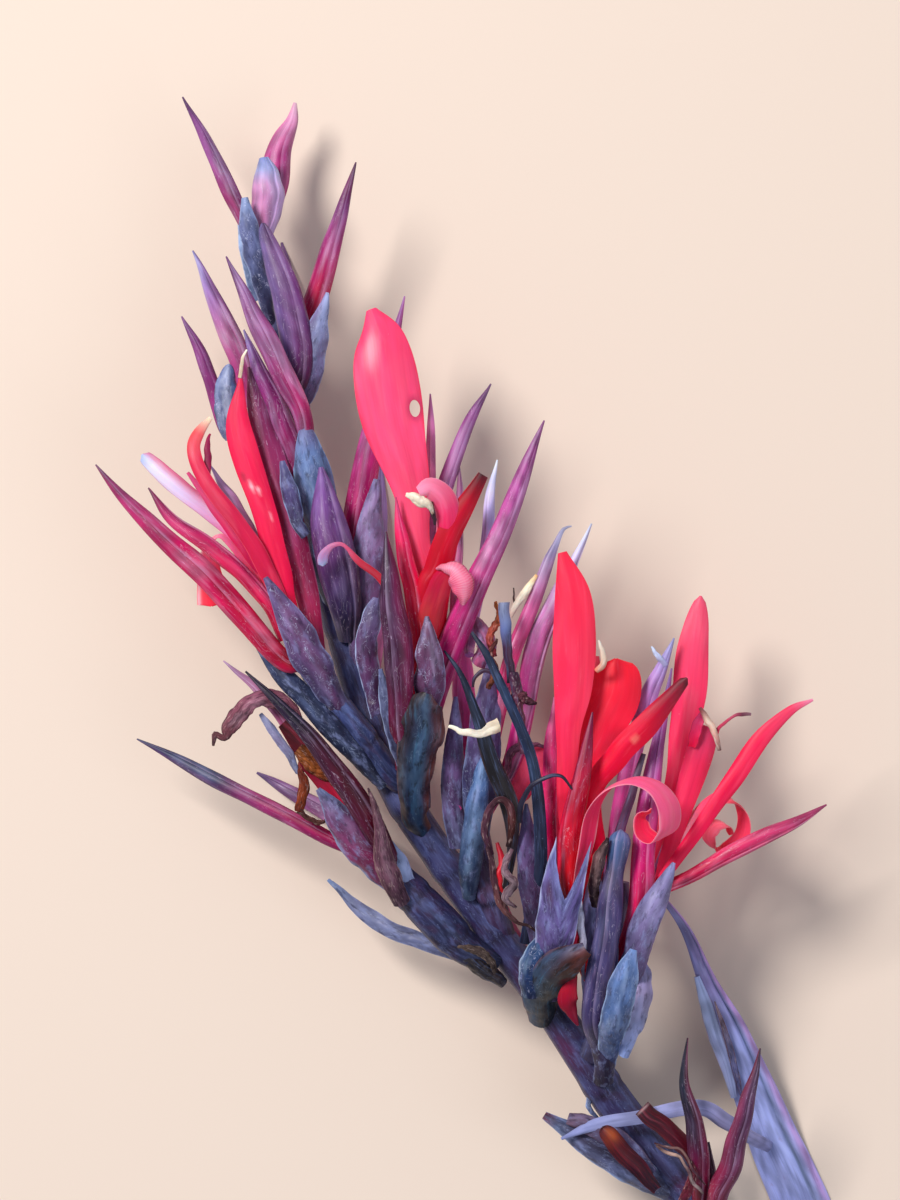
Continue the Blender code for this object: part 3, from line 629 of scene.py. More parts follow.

# rolled petals and buds: facet says how square the section is (2 is round), round the share of the
# length that a blunt tip takes, the seam share how strongly the painted highlight along the free edge shows
rolls = {
    "topSpike": dict(bloomAndSheen=("#D4C8DC", 0.7), side=("#6E3470", 0.55), tones={0: "#A02458", 0.35: "#983A6C",
        0.6: "#905688", 0.85: "#7C4A7C", 1: "#4C2C54"}, route=[(-53, 117, 26, 3), (-60, 132.5, 27, 4.3),
        (-66, 145, 28, 3), (-71.8, 155.8, 29, 0.4)]),
    "topBud": dict(bloomAndSheen=("#D0B0D4", 0.45), side=("#A83A70", -0.35), tones={0: "#7C1E5C", 0.3: "#A0306C",
        0.65: "#B04480", 0.88: "#D48CB0", 1: "#E8BCCC"}, route=[(-53, 117, 22.4, 3), (-49.4, 133, 17, 7),
        (-47.6, 145, 16, 6), (-45.2, 151, 16, 3.4), (-44, 155.4, 16, 0.9)]),
    "roundBud": dict(bloomAndSheen=("#D8CCEC", 0.6), side=("#9AA0CC", 0.5), facet=2, tones={0: "#8A5A96",
        0.35: "#B8749C", 0.7: "#C48CB4", 0.86: "#98A0C8", 1: "#7484B4"}, route=[(-53, 117, 25, 3),
        (-50.8, 129, 26.5, 8.2), (-50.8, 136, 26, 6.6), (-51.5, 140.8, 25, 2.4)]),
    "largeBud": dict(bloomAndSheen=("#A894C0", 0.5), side=("#565C8E", -0.5), facet=1.9, tones={0: "#3C1A40",
        0.25: "#561E50", 0.6: "#663068", 0.85: "#744E7E", 1: "#5C486E"}, route=[(-44, 80, 28, 4),
        (-42.5, 88, 34, 8), (-44, 97, 36, 8.6), (-47, 109, 36, 7.2), (-50.6, 121, 33.6, 3.6),
        (-51.2, 124, 33, 1)]),
    "topRightSpike": dict(bloomAndSheen=("#D8C6E4", 0.55), side=("#7A3068", -0.3), tones={0: "#A40C38",
        0.38: "#B81248", 0.55: "#A22A64", 0.78: "#8A4480", 0.86: "#661A4A", 1: "#4C143A"},
        route=[(-47, 90, 24, 4), (-41, 99, 27, 6), (-36.5, 112, 29, 5.8), (-32, 127, 31, 3.6),
        (-28.3, 139.3, 32, 0.4)]),
    "upperLeftSpike": dict(bloomAndSheen=("#DDD8E8", 0.8), side=("#9A3A74", 0.35), tones={0: "#A03070",
        0.35: "#A84078", 0.6: "#A8668E", 0.8: "#9C7AB0", 1: "#8A8CC4"}, route=[(-46, 70, 24, 3),
        (-54, 80, 26, 5), (-58.5, 92.5, 28, 5.8), (-63.8, 105, 29, 4.2), (-69.3, 117.3, 30, 0.4)]),
    "upperFrontSpike": dict(bloomAndSheen=("#D2BCE0", 0.75), side=("#6C2E64", -0.5), tones={0: "#A82050",
        0.3: "#AC3468", 0.55: "#984676", 0.8: "#80447A", 1: "#5A3060"}, route=[(-41, 64, 30, 3),
        (-41, 74, 38, 4.8), (-45.5, 84, 41, 6), (-52, 97.5, 42, 5.4), (-60.5, 115.3, 41, 0.4)]),
    "upperMiddleSpike": dict(bloomAndSheen=("#C0B4DC", 0.5), side=("#6A2A58", 0.4), tones={0: "#701040",
        0.4: "#821A50", 0.7: "#7E326C", 1: "#766CA0"}, route=[(-39, 54, 30, 4), (-42.5, 62, 34, 6.4),
        (-46.5, 73, 36, 6.8), (-51.5, 85, 36, 4.6), (-56.3, 97.3, 35, 0.4)]),
    "blueBractBud": dict(bloomAndSheen=("#A99CCB", 0.35), facet=1.9, tones={0: "#2E2C4A", 0.25: "#362A4E",
        0.55: "#542E5C", 0.8: "#6C4480", 1: "#7A5494"}, route=[(-30.5, 20, 33, 5), (-31, 29, 39, 8.4),
        (-33.5, 40, 42, 10.4), (-35.5, 51, 42, 8.6), (-37, 63, 41, 1.2)]),
    "leftLongSpike": dict(bloomAndSheen=("#E2C4DC", 0.5), side=("#C8386A", -0.25), tones={0: "#C00838",
        0.3: "#C01644", 0.6: "#B02454", 0.85: "#983866", 1: "#482442"}, route=[(-41, 14, 42, 3),
        (-47, 15.5, 45, 5.6), (-62, 32.5, 48, 6.3), (-73.5, 43.5, 48.5, 5.5), (-84, 53.5, 48, 3.6),
        (-92.5, 63.5, 47, 0.4)]),
    "lowerLongSpike": dict(bloomAndSheen=("#B6BCD8", 0.28), side=("#6A3060", -0.4), tones={0: "#980C44",
        0.35: "#982252", 0.56: "#823662", 0.66: "#424864", 0.9: "#323A58", 1: "#242A44"},
        route=[(-22, -34, 34, 3), (-35.5, -29.5, 33, 3.8), (-55, -19.3, 29, 3.8), (-68, -13, 25, 3.8),
        (-83.5, -4.8, 20, 0.4)]),
    "lowerDarkPetal": dict(seamHighlightShare=0.2, bloomAndSheen=("#A078A0", 0.05), side=("#2A1C38", -0.25),
        tones={0: "#5A0022", 0.4: "#480020", 0.6: "#300618", 0.72: "#100E20", 1: "#080A14"},
        route=[(-19, -37, 37, 5), (-26, -22.5, 45, 6.5), (-35, -10, 47, 5.4), (-43, -0.5, 47, 3.6),
        (-55.5, 12.3, 45, 0.5)]),
    "centreBackSpike": dict(bloomAndSheen=("#C4AED6", 0.5), side=("#C03060", 0.3), tones={0: "#B01850",
        0.35: "#B4205C", 0.6: "#A43C7A", 1: "#8C5C94"}, route=[(-27.5, 14, 30, 4), (-28, 30, 32, 7),
        (-28.5, 46, 33, 7.5), (-26, 62.5, 34, 7), (-21.3, 85, 34, 4.6), (-16.3, 105.8, 34, 0.4)]),
    "centreRightSpike": dict(bloomAndSheen=("#DCC8E4", 0.7), side=("#8A2E68", 0.3), tones={0: "#B0205E",
        0.3: "#B82664", 0.55: "#B83E7C", 0.8: "#AC5494", 1: "#6E3A66"}, route=[(-14, -12, 36, 4),
        (-8.5, 8, 44, 7), (0, 30, 50, 7), (7, 45.5, 52, 5.5), (12.5, 60, 53, 4), (18.3, 74.3, 53, 0.4)]),
    "centreDarkSpike": dict(bloomAndSheen=("#A890B4", 0.18), side=("#8A1E48", 0.55), tones={0: "#8C0C34",
        0.2: "#661034", 0.45: "#421834", 0.75: "#42203E", 1: "#28162C"}, route=[(-16.5, -12, 38, 4),
        (-17, 2, 50, 6.6), (-18, 19, 56, 8), (-19.5, 34, 58, 5), (-20.5, 46.8, 58, 0.5)]),
    # painted light: the tones are brighter than the spike's own, to offset the shade the pieces above cast on
    # it
    "middleSpike": dict(bloomAndSheen=("#DCDCF4", 0.8), side=("#A84A88", 0.3), tones={0: "#C83078", 0.45: "#C84088",
        0.7: "#C080B4", 0.85: "#C8BCE0", 1: "#D0DCF4"}, route=[(2, -27, 33, 3), (11, -8, 38, 4.6),
        (16.3, 17.5, 41, 5.6), (21, 29, 42, 4.6), (30.3, 49, 41, 0.4)]),
    "rightLowSpike": dict(bloomAndSheen=("#E0BCD4", 0.45), side=("#C83A5E", 0.3), tones={0: "#D81448", 0.4: "#D02450",
        0.75: "#BC4068", 1: "#963E60"}, route=[(38, -46, 38, 3), (50.5, -40.3, 43, 3.2),
        (59.3, -35.6, 45, 3.8), (69, -30.4, 46, 4.3), (79.3, -25.6, 46, 3.2), (88.5, -20.8, 45, 0.4)]),
    "rightTallSpike": dict(bloomAndSheen=("#BCB4E0", 0.5), side=("#C0244C", 0.3), tones={0: "#DC1C50",
        0.25: "#D4245C", 0.45: "#C4347C", 0.7: "#A84E98", 1: "#7A60A0"}, route=[(37, -62, 42, 4),
        (42, -46, 47, 6), (43, -32, 47, 6), (45, -14, 44, 5), (50.3, 13, 42, 0.4)]),
    "rightFrontSpike": dict(seamHighlightShare=0.15, bloomAndSheen=("#C46A90", 0.05), side=("#C22A50", -0.3),
        tones={0: "#DC0020", 0.45: "#D40030", 0.8: "#A4043C", 1: "#640E3C"}, route=[(31, -66, 38.5, 3),
        (25.8, -54, 45, 4), (24.6, -44, 49, 5.2), (25, -28, 53, 6.4), (28, -10, 55, 4),
        (30.5, 2.3, 55, 0.4)]),
    "blueBud": dict(round=0.06, bloomAndSheen=("#A8AEDA", 0.35), side=("#564070", 0.4), facet=1.9,
        tones={0: "#302C50", 0.4: "#3C345E", 0.7: "#3A3860", 0.8: "#4A4260", 0.84: "#242440", 0.89: "#2C4268",
        1: "#4C6C98"}, route=[(33, -84, 29, 4), (30.5, -73, 44, 6), (33, -57.5, 50, 7), (34.6, -45, 52, 6.6),
        (35.6, -37.5, 52.4, 4.8), (36.4, -32, 52.6, 5.6), (37, -28.5, 52.4, 5.8), (37.2, -26.6, 52, 3.6)]),
    "bottomDarkSpike": dict(bloomAndSheen=("#8C94A8", 0.12), side=("#8A2444", 0.5), tones={0: "#900C34",
        0.35: "#5A1036", 0.5: "#301A30", 0.75: "#1A2230", 1: "#10141C"}, route=[(58, -122, 18, 4),
        (57.5, -111, 26, 5.5), (56, -101, 33, 4.6), (53.5, -90, 36, 2.6), (54.3, -79, 38, 0.4)]),
    "bottomRedSpike": dict(bloomAndSheen=("#B08CB0", 0.3), side=("#A82844", -0.35), tones={0: "#841A3A",
        0.35: "#6A2644", 0.65: "#5A3252", 1: "#342638"}, route=[(60, -128, 16, 4), (63.5, -116, 26, 6),
        (66.5, -105, 31, 5.4), (69.5, -94, 34, 3.8), (72.8, -81.8, 36, 0.4)]),
    "underTopSpike": dict(bloomAndSheen=("#C8B8DC", 0.6), tones={0: "#A8385E", 0.5: "#9A5080", 1: "#74507C"},
        route=[(-46, 86, 23, 3), (-44.5, 93, 13, 5), (-45, 104, 5.5, 4.6), (-46.5, 115, 0.7, 2.6),
        (-47.5, 121, 0.12, 0.6)]),
    "underCentreSpike": dict(bloomAndSheen=("#D8D0F0", 0.7), tones={0: "#D06CA0", 0.5: "#C084C0", 1: "#907CB0"},
        route=[(-25, 6, 27, 4), (-24, 22, 15, 6), (-23.5, 42, 5.5, 5.4), (-23, 58, 0.9, 3.2),
        (-22.5, 66, 0.12, 0.6)]),
    "underLeftSpike": dict(bloomAndSheen=("#C0B4D8", 0.6), tones={0: "#A02A5A", 0.5: "#944878", 1: "#5C4A70"},
        route=[(-18, -36, 33, 4), (-25, -31, 18, 5.4), (-36, -24, 7, 5), (-47, -18, 0.9, 3.2),
        (-54, -14, 0.12, 0.6)]),
    "underRightSpike": dict(bloomAndSheen=("#CDB8DA", 0.6), tones={0: "#B8285A", 0.5: "#A84676", 1: "#74406C"},
        route=[(36, -62, 33, 4), (41, -50, 19, 6), (47, -35, 8, 5.4), (54, -20, 0.9, 3.2),
        (58, -12, 0.12, 0.6)]),
    "outerLeftSpike": dict(bloomAndSheen=("#B8A4CC", 0.5), tones={0: "#9A2A68", 0.5: "#8A3A74", 1: "#6A3A6C"},
        route=[(-50, 71.4, 25.6, 3), (-60, 72, 21, 4), (-65.5, 86.3, 22, 3.8), (-68.5, 93.8, 22, 2.8),
        (-72.3, 101.3, 21, 0.4)]),
    "leftBackSpike": dict(bloomAndSheen=("#B8B0D8", 0.5), tones={0: "#BC6C98", 0.6: "#CC90BC", 1: "#C0ACD4"},
        route=[(-49.6, 32.4, 39, 3), (-48.8, 36.3, 36, 3.5), (-53.8, 45.5, 37, 3.5), (-59.5, 55, 37, 3),
        (-64.8, 63.5, 37, 0.4)]),
    "lowerPaleSpike": dict(bloomAndSheen=("#DCC8E0", 0.4), tones={0: "#96305C", 0.5: "#A0587C", 0.8: "#A87898",
        1: "#B494B4"}, route=[(-36.6, -13.6, 38.6, 3), (-45, -1.3, 37, 3.5), (-52, 7, 37, 2.8),
        (-61.3, 14.8, 37, 0.4)]),
    "centreShortSpike": dict(bloomAndSheen=("#E0C8E0", 0.5), tones={0: "#FF74A8", 0.5: "#FF94BC", 1: "#C87CB0"},
        route=[(-10.4, 18, 45, 2.6), (-9.5, 26, 38, 3), (-9.5, 45, 38, 3.2), (-9.8, 70, 38, 2.4),
        (-10, 81.3, 38, 0.4)]),
    "centreThinSpike": dict(bloomAndSheen=("#CDBCDC", 0.6), tones={0: "#A42060", 0.5: "#A43C78", 0.8: "#98548E",
        1: "#6E4070"}, route=[(-19, -2, 32, 3), (-12, 28, 37, 4), (-9.5, 47, 38, 4.4), (-1, 72, 38, 3.4),
        (5.3, 83.8, 38, 0.4)]),
    "paleBlueSpike": dict(bloomAndSheen=("#DCD4F4", 0.6), tones={0: "#D078C4", 0.4: "#DCA8E4", 0.75: "#CCC0F4",
        1: "#DCECFC"}, route=[(-0.2, 16.4, 43.8, 2.4), (0, 20, 40, 3), (3, 37.5, 42, 3), (5, 52.5, 42, 3),
        (6.8, 64.8, 42, 0.4)]),
    "centreDarkSliver": dict(bloomAndSheen=("#8890B8", 0.4), tones={0: "#B44870", 0.6: "#A86A90", 1: "#7C5070"},
        route=[(-3.8, 22, 38, 2.2), (-3.2, 40, 38, 2.4), (-2.6, 55, 38, 2), (-2.3, 63.5, 38, 0.4)]),
    "centreCrimsonSpike": dict(bloomAndSheen=("#D080A0", 0.35), side=("#D02448", -0.4), tones={0: "#F01848",
        0.5: "#F41E50", 0.8: "#DC2C60", 1: "#B83064"}, route=[(-12, 10, 46, 4), (-13.3, 27.5, 50, 5),
        (-16.3, 42.5, 50, 4), (-18.3, 55.5, 50, 0.4)]),
    "hookedSpike": dict(bloomAndSheen=("#E0CCE8", 0.7), tones={0: "#CC2464", 0.5: "#D4346C", 0.72: "#C06494",
        0.88: "#A098C0", 1: "#C0C4DC"}, route=[(3, -26, 36, 3), (8, 7, 42, 4), (14, 25, 43, 4),
        (19, 38, 44, 3.2), (21.4, 43.5, 44, 1.8), (23.2, 47.4, 42.5, 1), (25.2, 48.4, 41, 0.4)]),
    "rightBackSpike": dict(bloomAndSheen=("#B4ACDC", 0.6), tones={0: "#CC3C8A", 0.5: "#D05298", 0.8: "#B884C4",
        1: "#A0A8D8"}, route=[(34, -50, 34, 3), (38, -20, 33, 4.6), (43.5, 3, 36, 5), (47.5, 12.5, 37, 3.4),
        (51, 20.5, 37, 0.4)]),
    "rightInnerSpike": dict(bloomAndSheen=("#B48CB8", 0.4), tones={0: "#FC305C", 0.4: "#FC346C", 0.8: "#D8447C",
        1: "#A85C84"}, route=[(17.6, -44, 39.4, 3), (20.5, -40, 38, 4), (20, -25, 42, 5),
        (20.5, -7.5, 42, 4.2), (21, 6, 42, 0.5)]),
    "backCrimsonSpike": dict(bloomAndSheen=("#D890BC", 0.4), tones={0: "#E85CA4", 0.5: "#FC70C4", 1: "#F074BC"},
        route=[(-3.4, -22, 37, 3), (-3, -16, 28, 4), (-1.5, -4, 31, 6), (-1.5, 10, 34, 5.6),
        (-2, 20, 34, 1.2)]),
    "stemSidePetal": dict(bloomAndSheen=("#D0A0BC", 0.4), tones={0: "#B84070", 0.5: "#D0608C", 1: "#B04478"},
        route=[(16, -64, 21, 2.2), (11.5, -55, 22, 3.8), (6.5, -46, 22, 4.4), (1.6, -36.5, 22, 3)]),
    "leftThinPetal": dict(bloomAndSheen=("#D07C9C", 0.4), side=("#8A2450", 0.5), tones={0: "#C81C48", 0.5: "#CC2A54",
        0.8: "#B83C6C", 1: "#4A2A40"}, route=[(-46, 20, 43, 3), (-50, 29, 43, 3.8), (-56.3, 36.3, 43, 4),
        (-64.3, 42.8, 43, 4.3), (-74.3, 50.5, 42, 2.8), (-79.8, 57.8, 41, 0.4)]),
    "bottomBackSpike": dict(bloomAndSheen=("#8A7C98", 0.3), tones={0: "#7A1E38", 0.5: "#5A2A3C", 1: "#2E2A34"},
        route=[(61, -122, 14, 3), (60.8, -116, 20, 2.6), (60.4, -111, 23, 2.4), (60.2, -106, 24, 0.5)]),
}

# petals, bracts and leaves: cup is the hollow as a share of the width, edge the rim's colour, its
# breadth and share, inner the inner face's colour, bands stripes along (place across from -1 to 1,
# breadth, colour, share), bars stripes across (mm apart, colour, share), grooves folds (place,
# breadth, height in mm), wave the size and count of edge waves, ragged and crumple how uneven the rims
# and the face are, notch a forked end (depth, place), sideHint where one rim points, and hole and
# spots an opening and marks (place along and across, reach along and across)
blades = {
    "topRightBract": dict(finish="bract", cup=0.22, edge=("#A8C0EC", 0.16, 0.8), bloomAndSheen=("#B4BEE4", 0.6),
        side=("#7C4A80", -0.5), inner="#6A3464", tones={0: "#52406C", 0.5: "#66628C", 1: "#90A0CC"},
        route=[(-45, 76, 26, 4), (-40.5, 84, 33, 6.4), (-38.3, 95, 37, 6), (-35.3, 106.5, 38, 0.8)]),
    "bigBlueBract": dict(finish="bract", cup=0.25, round=0.06, edge=("#86AEDC", 0.18, 0.75),
        bloomAndSheen=("#98B8E0", 0.55), inner="#4A3A5E", tones={0: "#363858", 0.5: "#48547C", 0.85: "#5A74A4",
        1: "#64507C"}, route=[(-32.5, 25, 29, 5), (-35, 38, 36, 8.6), (-37.2, 52, 38, 9.6),
        (-39.6, 64, 39, 8.4), (-41, 74, 39, 2.4)]),
    "leftBract": dict(finish="scuffed", cup=0.25, bands=[(0.1, 0.4, "#7C3A66", 0.45)],
        edge=("#8C96C4", 0.14, 0.6), bloomAndSheen=("#A8A4D2", 0.4), inner="#54345E", tones={0: "#26264A",
        0.3: "#483A62", 0.7: "#684A76", 1: "#6A5E8E"}, route=[(-30, -1, 38, 4), (-36, 10, 46, 8),
        (-42, 20.5, 50, 8.2), (-50.5, 35.5, 52, 1.2)]),
    "leftDarkBract": dict(finish="bract", cup=0.25, edge=("#1C1C30", 0.16, 0.6), bloomAndSheen=("#7C90C0", 0.3),
        inner="#2C2440", tones={0: "#1A1E34", 0.5: "#262E4C", 0.85: "#323C5C", 1: "#505A84"},
        route=[(-21, -16.4, 36, 3), (-31.6, -5, 42, 5.2), (-41.4, 6, 43, 5.4), (-48.2, 13.8, 42, 4),
        (-55.5, 23.8, 40, 0.8)]),
    "lowerBract": dict(finish="bract", cup=0.28, edge=("#7E9CC4", 0.25, 0.75), bloomAndSheen=("#B4A4CC", 0.25),
        side=("#8C3A66", -0.35), inner="#7A2F56", tones={0: "#4C1A40", 0.4: "#781E4C", 0.75: "#603660",
        1: "#6074A0"}, route=[(-16, -43, 36, 5), (-25, -33.5, 42, 8.8), (-31, -26, 44, 8),
        (-37.5, -16.8, 44, 1.2)]),
    "lowerLeafBract": dict(finish="bract", cup=0.15, edge=("#94A0C8", 0.2, 0.5), bloomAndSheen=("#A4B0D8", 0.5),
        inner="#4C4A6A", tones={0: "#3A3A52", 0.35: "#5E6488", 0.8: "#767CA0", 1: "#6E86B0"},
        route=[(2, -60.5, 29, 3), (-12.5, -55.3, 25, 4), (-25, -50, 22, 4), (-35.5, -40.3, 20, 0.8)]),
    "centreBackBract": dict(finish="bract", cup=0.22, edge=("#8E98C4", 0.15, 0.5), bloomAndSheen=("#A8A2CE", 0.5),
        inner="#5E2F5A", tones={0: "#54406A", 0.5: "#7C5688", 0.85: "#8A72A0", 1: "#6A5C88"},
        route=[(-28, 12, 31, 4), (-26, 28, 37.5, 8), (-25, 45, 40, 7.4), (-23, 60, 40, 1.6)]),
    "centreFrontBract": dict(finish="scuffed", cup=0.25, edge=("#B0AED4", 0.14, 0.75), bloomAndSheen=("#C0B8DC", 0.5),
        inner="#5A2A4C", tones={0: "#463258", 0.5: "#6A4064", 1: "#5C3450"}, route=[(-12, -4, 42, 5),
        (-11, 3, 47.6, 6), (-10, 9, 53, 7.4), (-10, 18, 57, 6), (-10.5, 26, 57, 1)]),
    "greenBrownBract": dict(finish="sooty", cup=0.3, wave=(0.3, 4), ragged=0.07,
        bands=[(0.8, 0.3, "#5E2E28", 0.95), (-0.78, 0.3, "#3A2A28", 0.85), (0.1, 0.3, "#34587C", 0.5)],
        edge=("#7A5048", 0.1, 0.6), bloomAndSheen=("#7CA4C8", 0.3), inner="#3A2430", tones={0: "#121A34",
        0.3: "#142444", 0.6: "#1A2A44", 0.8: "#241E34", 1: "#2E1E20"}, route=[(-11.4, -29, 32.4, 5),
        (-13.7, -22.5, 40.6, 7.4), (-13.3, -10, 48.4, 9.6), (-11.8, -2.2, 52.4, 12), (-11.6, 3.6, 54.4, 9.4),
        (-10.5, 7, 54.8, 2.4)]),
    "middleBract": dict(finish="bract", cup=0.28, edge=("#8CA0C8", 0.16, 0.5), bloomAndSheen=("#8CA4CE", 0.35),
        inner="#3C3050", tones={0: "#242440", 0.3: "#343460", 0.6: "#584478", 1: "#64507C"},
        route=[(2, -33, 35, 5), (2.5, -17, 42, 8.6), (4, 0, 44, 7.6), (5, 15, 44, 1.2)]),
    "rightBract": dict(finish="bract", cup=0.28, edge=("#8C5C8C", 0.12, 0.4), bloomAndSheen=("#B0B0DC", 0.45),
        side=("#54628E", -0.35), inner="#5A3460", tones={0: "#4A3E66", 0.5: "#6C5A88", 1: "#847CAA"},
        route=[(36.5, -74, 37, 5), (40.3, -60, 48, 6.6), (43.9, -49, 52, 7), (47.6, -41.4, 52.4, 5),
        (50.4, -34.8, 52, 0.8)]),
    "rightTealBract": dict(finish="bract", cup=0.22, edge=("#A8C4EC", 0.18, 0.75), bloomAndSheen=("#B8D0F4", 0.5),
        inner="#3A4A62", tones={0: "#4A4270", 0.2: "#3C5484", 0.6: "#4A6698", 1: "#6484BC"},
        route=[(34, -88, 27, 4), (35.5, -76, 48, 7), (38, -64, 56, 7), (40.3, -56, 57, 1.6)]),
    "rightGreenBract": dict(finish="sooty", cup=0.28, edge=("#7A3E28", 0.16, 0.5), bloomAndSheen=("#5C8CB0", 0.1),
        side=("#2E5680", -0.5), inner="#3A2C30", tones={0: "#0C1420", 0.35: "#101C24", 0.62: "#1C1A1E",
        0.8: "#3A201C", 1: "#642A1E"}, route=[(18, -77, 27, 6), (18, -68, 43, 10.6), (22.5, -60.5, 53, 8.6),
        (28.5, -56, 56, 3.6)]),
    "bottomBract": dict(finish="bract", cup=0.3, bands=[(0.1, 0.5, "#281E34", 0.85)],
        edge=("#A0B8E0", 0.2, 0.8), bloomAndSheen=("#98A4CC", 0.45), inner="#6E3A34", tones={0: "#424A6A",
        0.4: "#545E84", 0.75: "#5E6084", 0.9: "#6478A0", 1: "#7A3A48"}, route=[(52, -120, 17, 5),
        (41, -113, 26, 8), (30, -106, 28, 6.6), (18.8, -99, 27, 2)]),
    # painted shade: the dark grey band at 0.5 follows the crease groove; painted light: the tones are
    # brighter than the leaf's own, to offset the shade of the pieces above it
    "bigLeaf": dict(finish="leaf", cup=0.12, edge=("#A090C0", 0.08, 0.4), bloomAndSheen=("#B0BAF0", 0.5),
        bands=[(0.86, 0.18, "#B888C4", 0.8), (0.5, 0.09, "#4C5C74", 0.95), (0.62, 0.1, "#8490B4", 0.5),
        (-0.7, 0.3, "#98A2E0", 0.5), (-0.2, 0.05, "#7C86BC", 0.5), (0.1, 0.05, "#7C86BC", 0.4)],
        grooves=[(0.5, 0.1, -0.7), (0.84, 0.2, 0.7)], inner="#6C6A92", rows=96, columns=35,
        tones={0: "#A4ACE8", 0.35: "#A8B4F0", 0.6: "#A0AAE6", 0.8: "#927EB4", 1: "#6A6488"},
        route=[(84, -152, 3, 11), (88, -142, 1.8, 13.6), (86.5, -130, 1.4, 14.6), (82, -117.5, 1.4, 14),
        (77, -106.3, 3.6, 12.4), (71.8, -93, 9, 10.4), (65.8, -78.3, 17, 8), (59.5, -65, 25, 4.6),
        (54, -52.5, 32, 2.6), (48, -44, 37, 1.2)]),
    "ribbonLeaf": dict(finish="leaf", cup=0.1, edge=("#A0A4D0", 0.2, 0.4), bloomAndSheen=("#B0B4DE", 0.4),
        inner="#6C6C94", tones={0: "#8C8CB8", 0.4: "#9C9CCC", 0.75: "#8E94C4", 1: "#7680B0"},
        route=[(77, -109.5, 2, 3), (71, -105.5, 15, 3.4), (64.5, -100.8, 25, 4), (57.3, -97, 28, 4),
        (42, -99.5, 29, 3.4), (31.5, -101.3, 30, 3), (23, -104.8, 30, 0.7)]),
    "darkLongLeaf": dict(finish="dark", cup=0.12, edge=("#34507C", 0.22, 0.5), bloomAndSheen=("#4C7098", 0.25),
        inner="#1A1A2C", tones={0: "#20203C", 0.4: "#181E38", 0.75: "#182644", 1: "#141A30"},
        route=[(14, -56, 30, 3), (17.5, -34, 46, 3.2), (15.5, -10, 52, 2.8), (5.5, 13.8, 53, 2),
        (0.5, 22, 52, 0.8)]),
    "leftRedPetal": dict(finish="petal", cup=0.1, spots=[(0.62, -0.3, 0.018, 0.16, "#F8C0C8", 0.9),
        (0.6, 0.1, 0.014, 0.14, "#F8C8D0", 0.8), (0.5, 0.4, 0.012, 0.12, "#FFB0BC", 0.7),
        (0.66, -0.6, 0.02, 0.2, "#8A1E3A", 0.6)], edge=("#D01838", 0.1, 0.35), bloomAndSheen=("#FF6478", 0.4),
        inner="#D81838", tones={0: "#D81C44", 0.4: "#EA2850", 0.8: "#F03058", 1: "#D83054"},
        route=[(-41, 16, 41, 3), (-45.5, 30, 43, 4.8), (-47, 38, 43, 5.4), (-52, 55, 43, 6.3),
        (-57, 72, 42, 6.4), (-57, 85, 41, 1)]),
    "leftPurplePetal": dict(finish="wax", cup=0.12, edge=("#A86090", 0.1, 0.5), bloomAndSheen=("#A8609C", 0.35),
        side=("#B8305E", -0.3), inner="#8A2050", tones={0: "#AC0844", 0.35: "#921048", 0.7: "#801C50",
        1: "#561C46"}, route=[(-37, 14, 38, 3), (-42, 38, 38.5, 6.8), (-48.5, 62, 38.5, 7.4),
        (-52.5, 76, 38, 5), (-55, 88, 37, 0.7)]),
    # painted shade: the dark purple inner face stands for the shade inside the curl
    "leftCurledPetal": dict(finish="petal", cup=0.1, edge=("#FF7080", 0.14, 0.5), bloomAndSheen=("#FF8494", 0.4),
        inner="#5A3058", rows=96, tones={0: "#C81C44", 0.5: "#CC2A4E", 0.8: "#D43454", 0.92: "#E05A5C",
        1: "#F2E2C4"}, route=[(-42, 18, 43, 3), (-50.5, 38, 45, 4.4), (-57, 48.3, 46, 4),
        (-63.8, 57.3, 47, 3.6), (-67.2, 63, 47, 3.4), (-68.3, 67.8, 46, 3.2), (-67, 71.4, 44.4, 2.8),
        (-64.3, 75.2, 42, 1.1)]),
    # painted highlight: the first spot, pale near the tip on the left
    "centreRedPetal": dict(finish="petal", cup=0.1, spots=[(0.9, -0.42, 0.045, 0.24, "#FFB0BC", 0.6),
        (0.36, 0, 0.02, 0.2, "#FFA0AC", 0.6), (0.75, 0.74, 0.031, 0.25, "#8A2848", 0.85)],
        edge=("#F03048", 0.12, 0.5), bloomAndSheen=("#FF6C86", 0.6), inner="#E82844", rows=190,
        hole=(0.75, 0.74, 0.021, 0.17), columns=41, tones={0: "#E4203C", 0.3: "#F43C5C", 0.45: "#FC5478",
        0.7: "#FE567E", 1: "#FF4C74"}, route=[(-13, -3, 42, 4), (-11, 33, 46, 5), (-13, 45, 47, 6.5),
        (-14.5, 57, 48, 9), (-19, 75, 49, 15.4), (-21, 87, 49, 15.8), (-22, 95.5, 48, 11.4),
        (-24.3, 102, 46, 2.6)]),
    "centreCrimsonPetal": dict(finish="petal", cup=0.12, edge=("#E02C40", 0.15, 0.4), bloomAndSheen=("#E8384C", 0.35),
        inner="#A80C28", tones={0: "#D81C3C", 0.4: "#CC1034", 0.75: "#BC0C2C", 0.9: "#980E24", 1: "#34101A"},
        route=[(-12, 0, 46, 4), (-11.2, 30, 51.5, 4.6), (-8.4, 37.4, 53, 5.6), (-4.2, 48, 55, 5.8),
        (3.3, 60.8, 56, 2.6)]),
    "centreCurledPetal": dict(finish="petal", cup=0.2, edge=("#F8B8CC", 0.16, 0.5), bloomAndSheen=("#FAA4C0", 0.3),
        inner="#E02C48", rows=96, tones={0: "#E41434", 0.45: "#EC1840", 0.66: "#F0204C", 0.82: "#F44474",
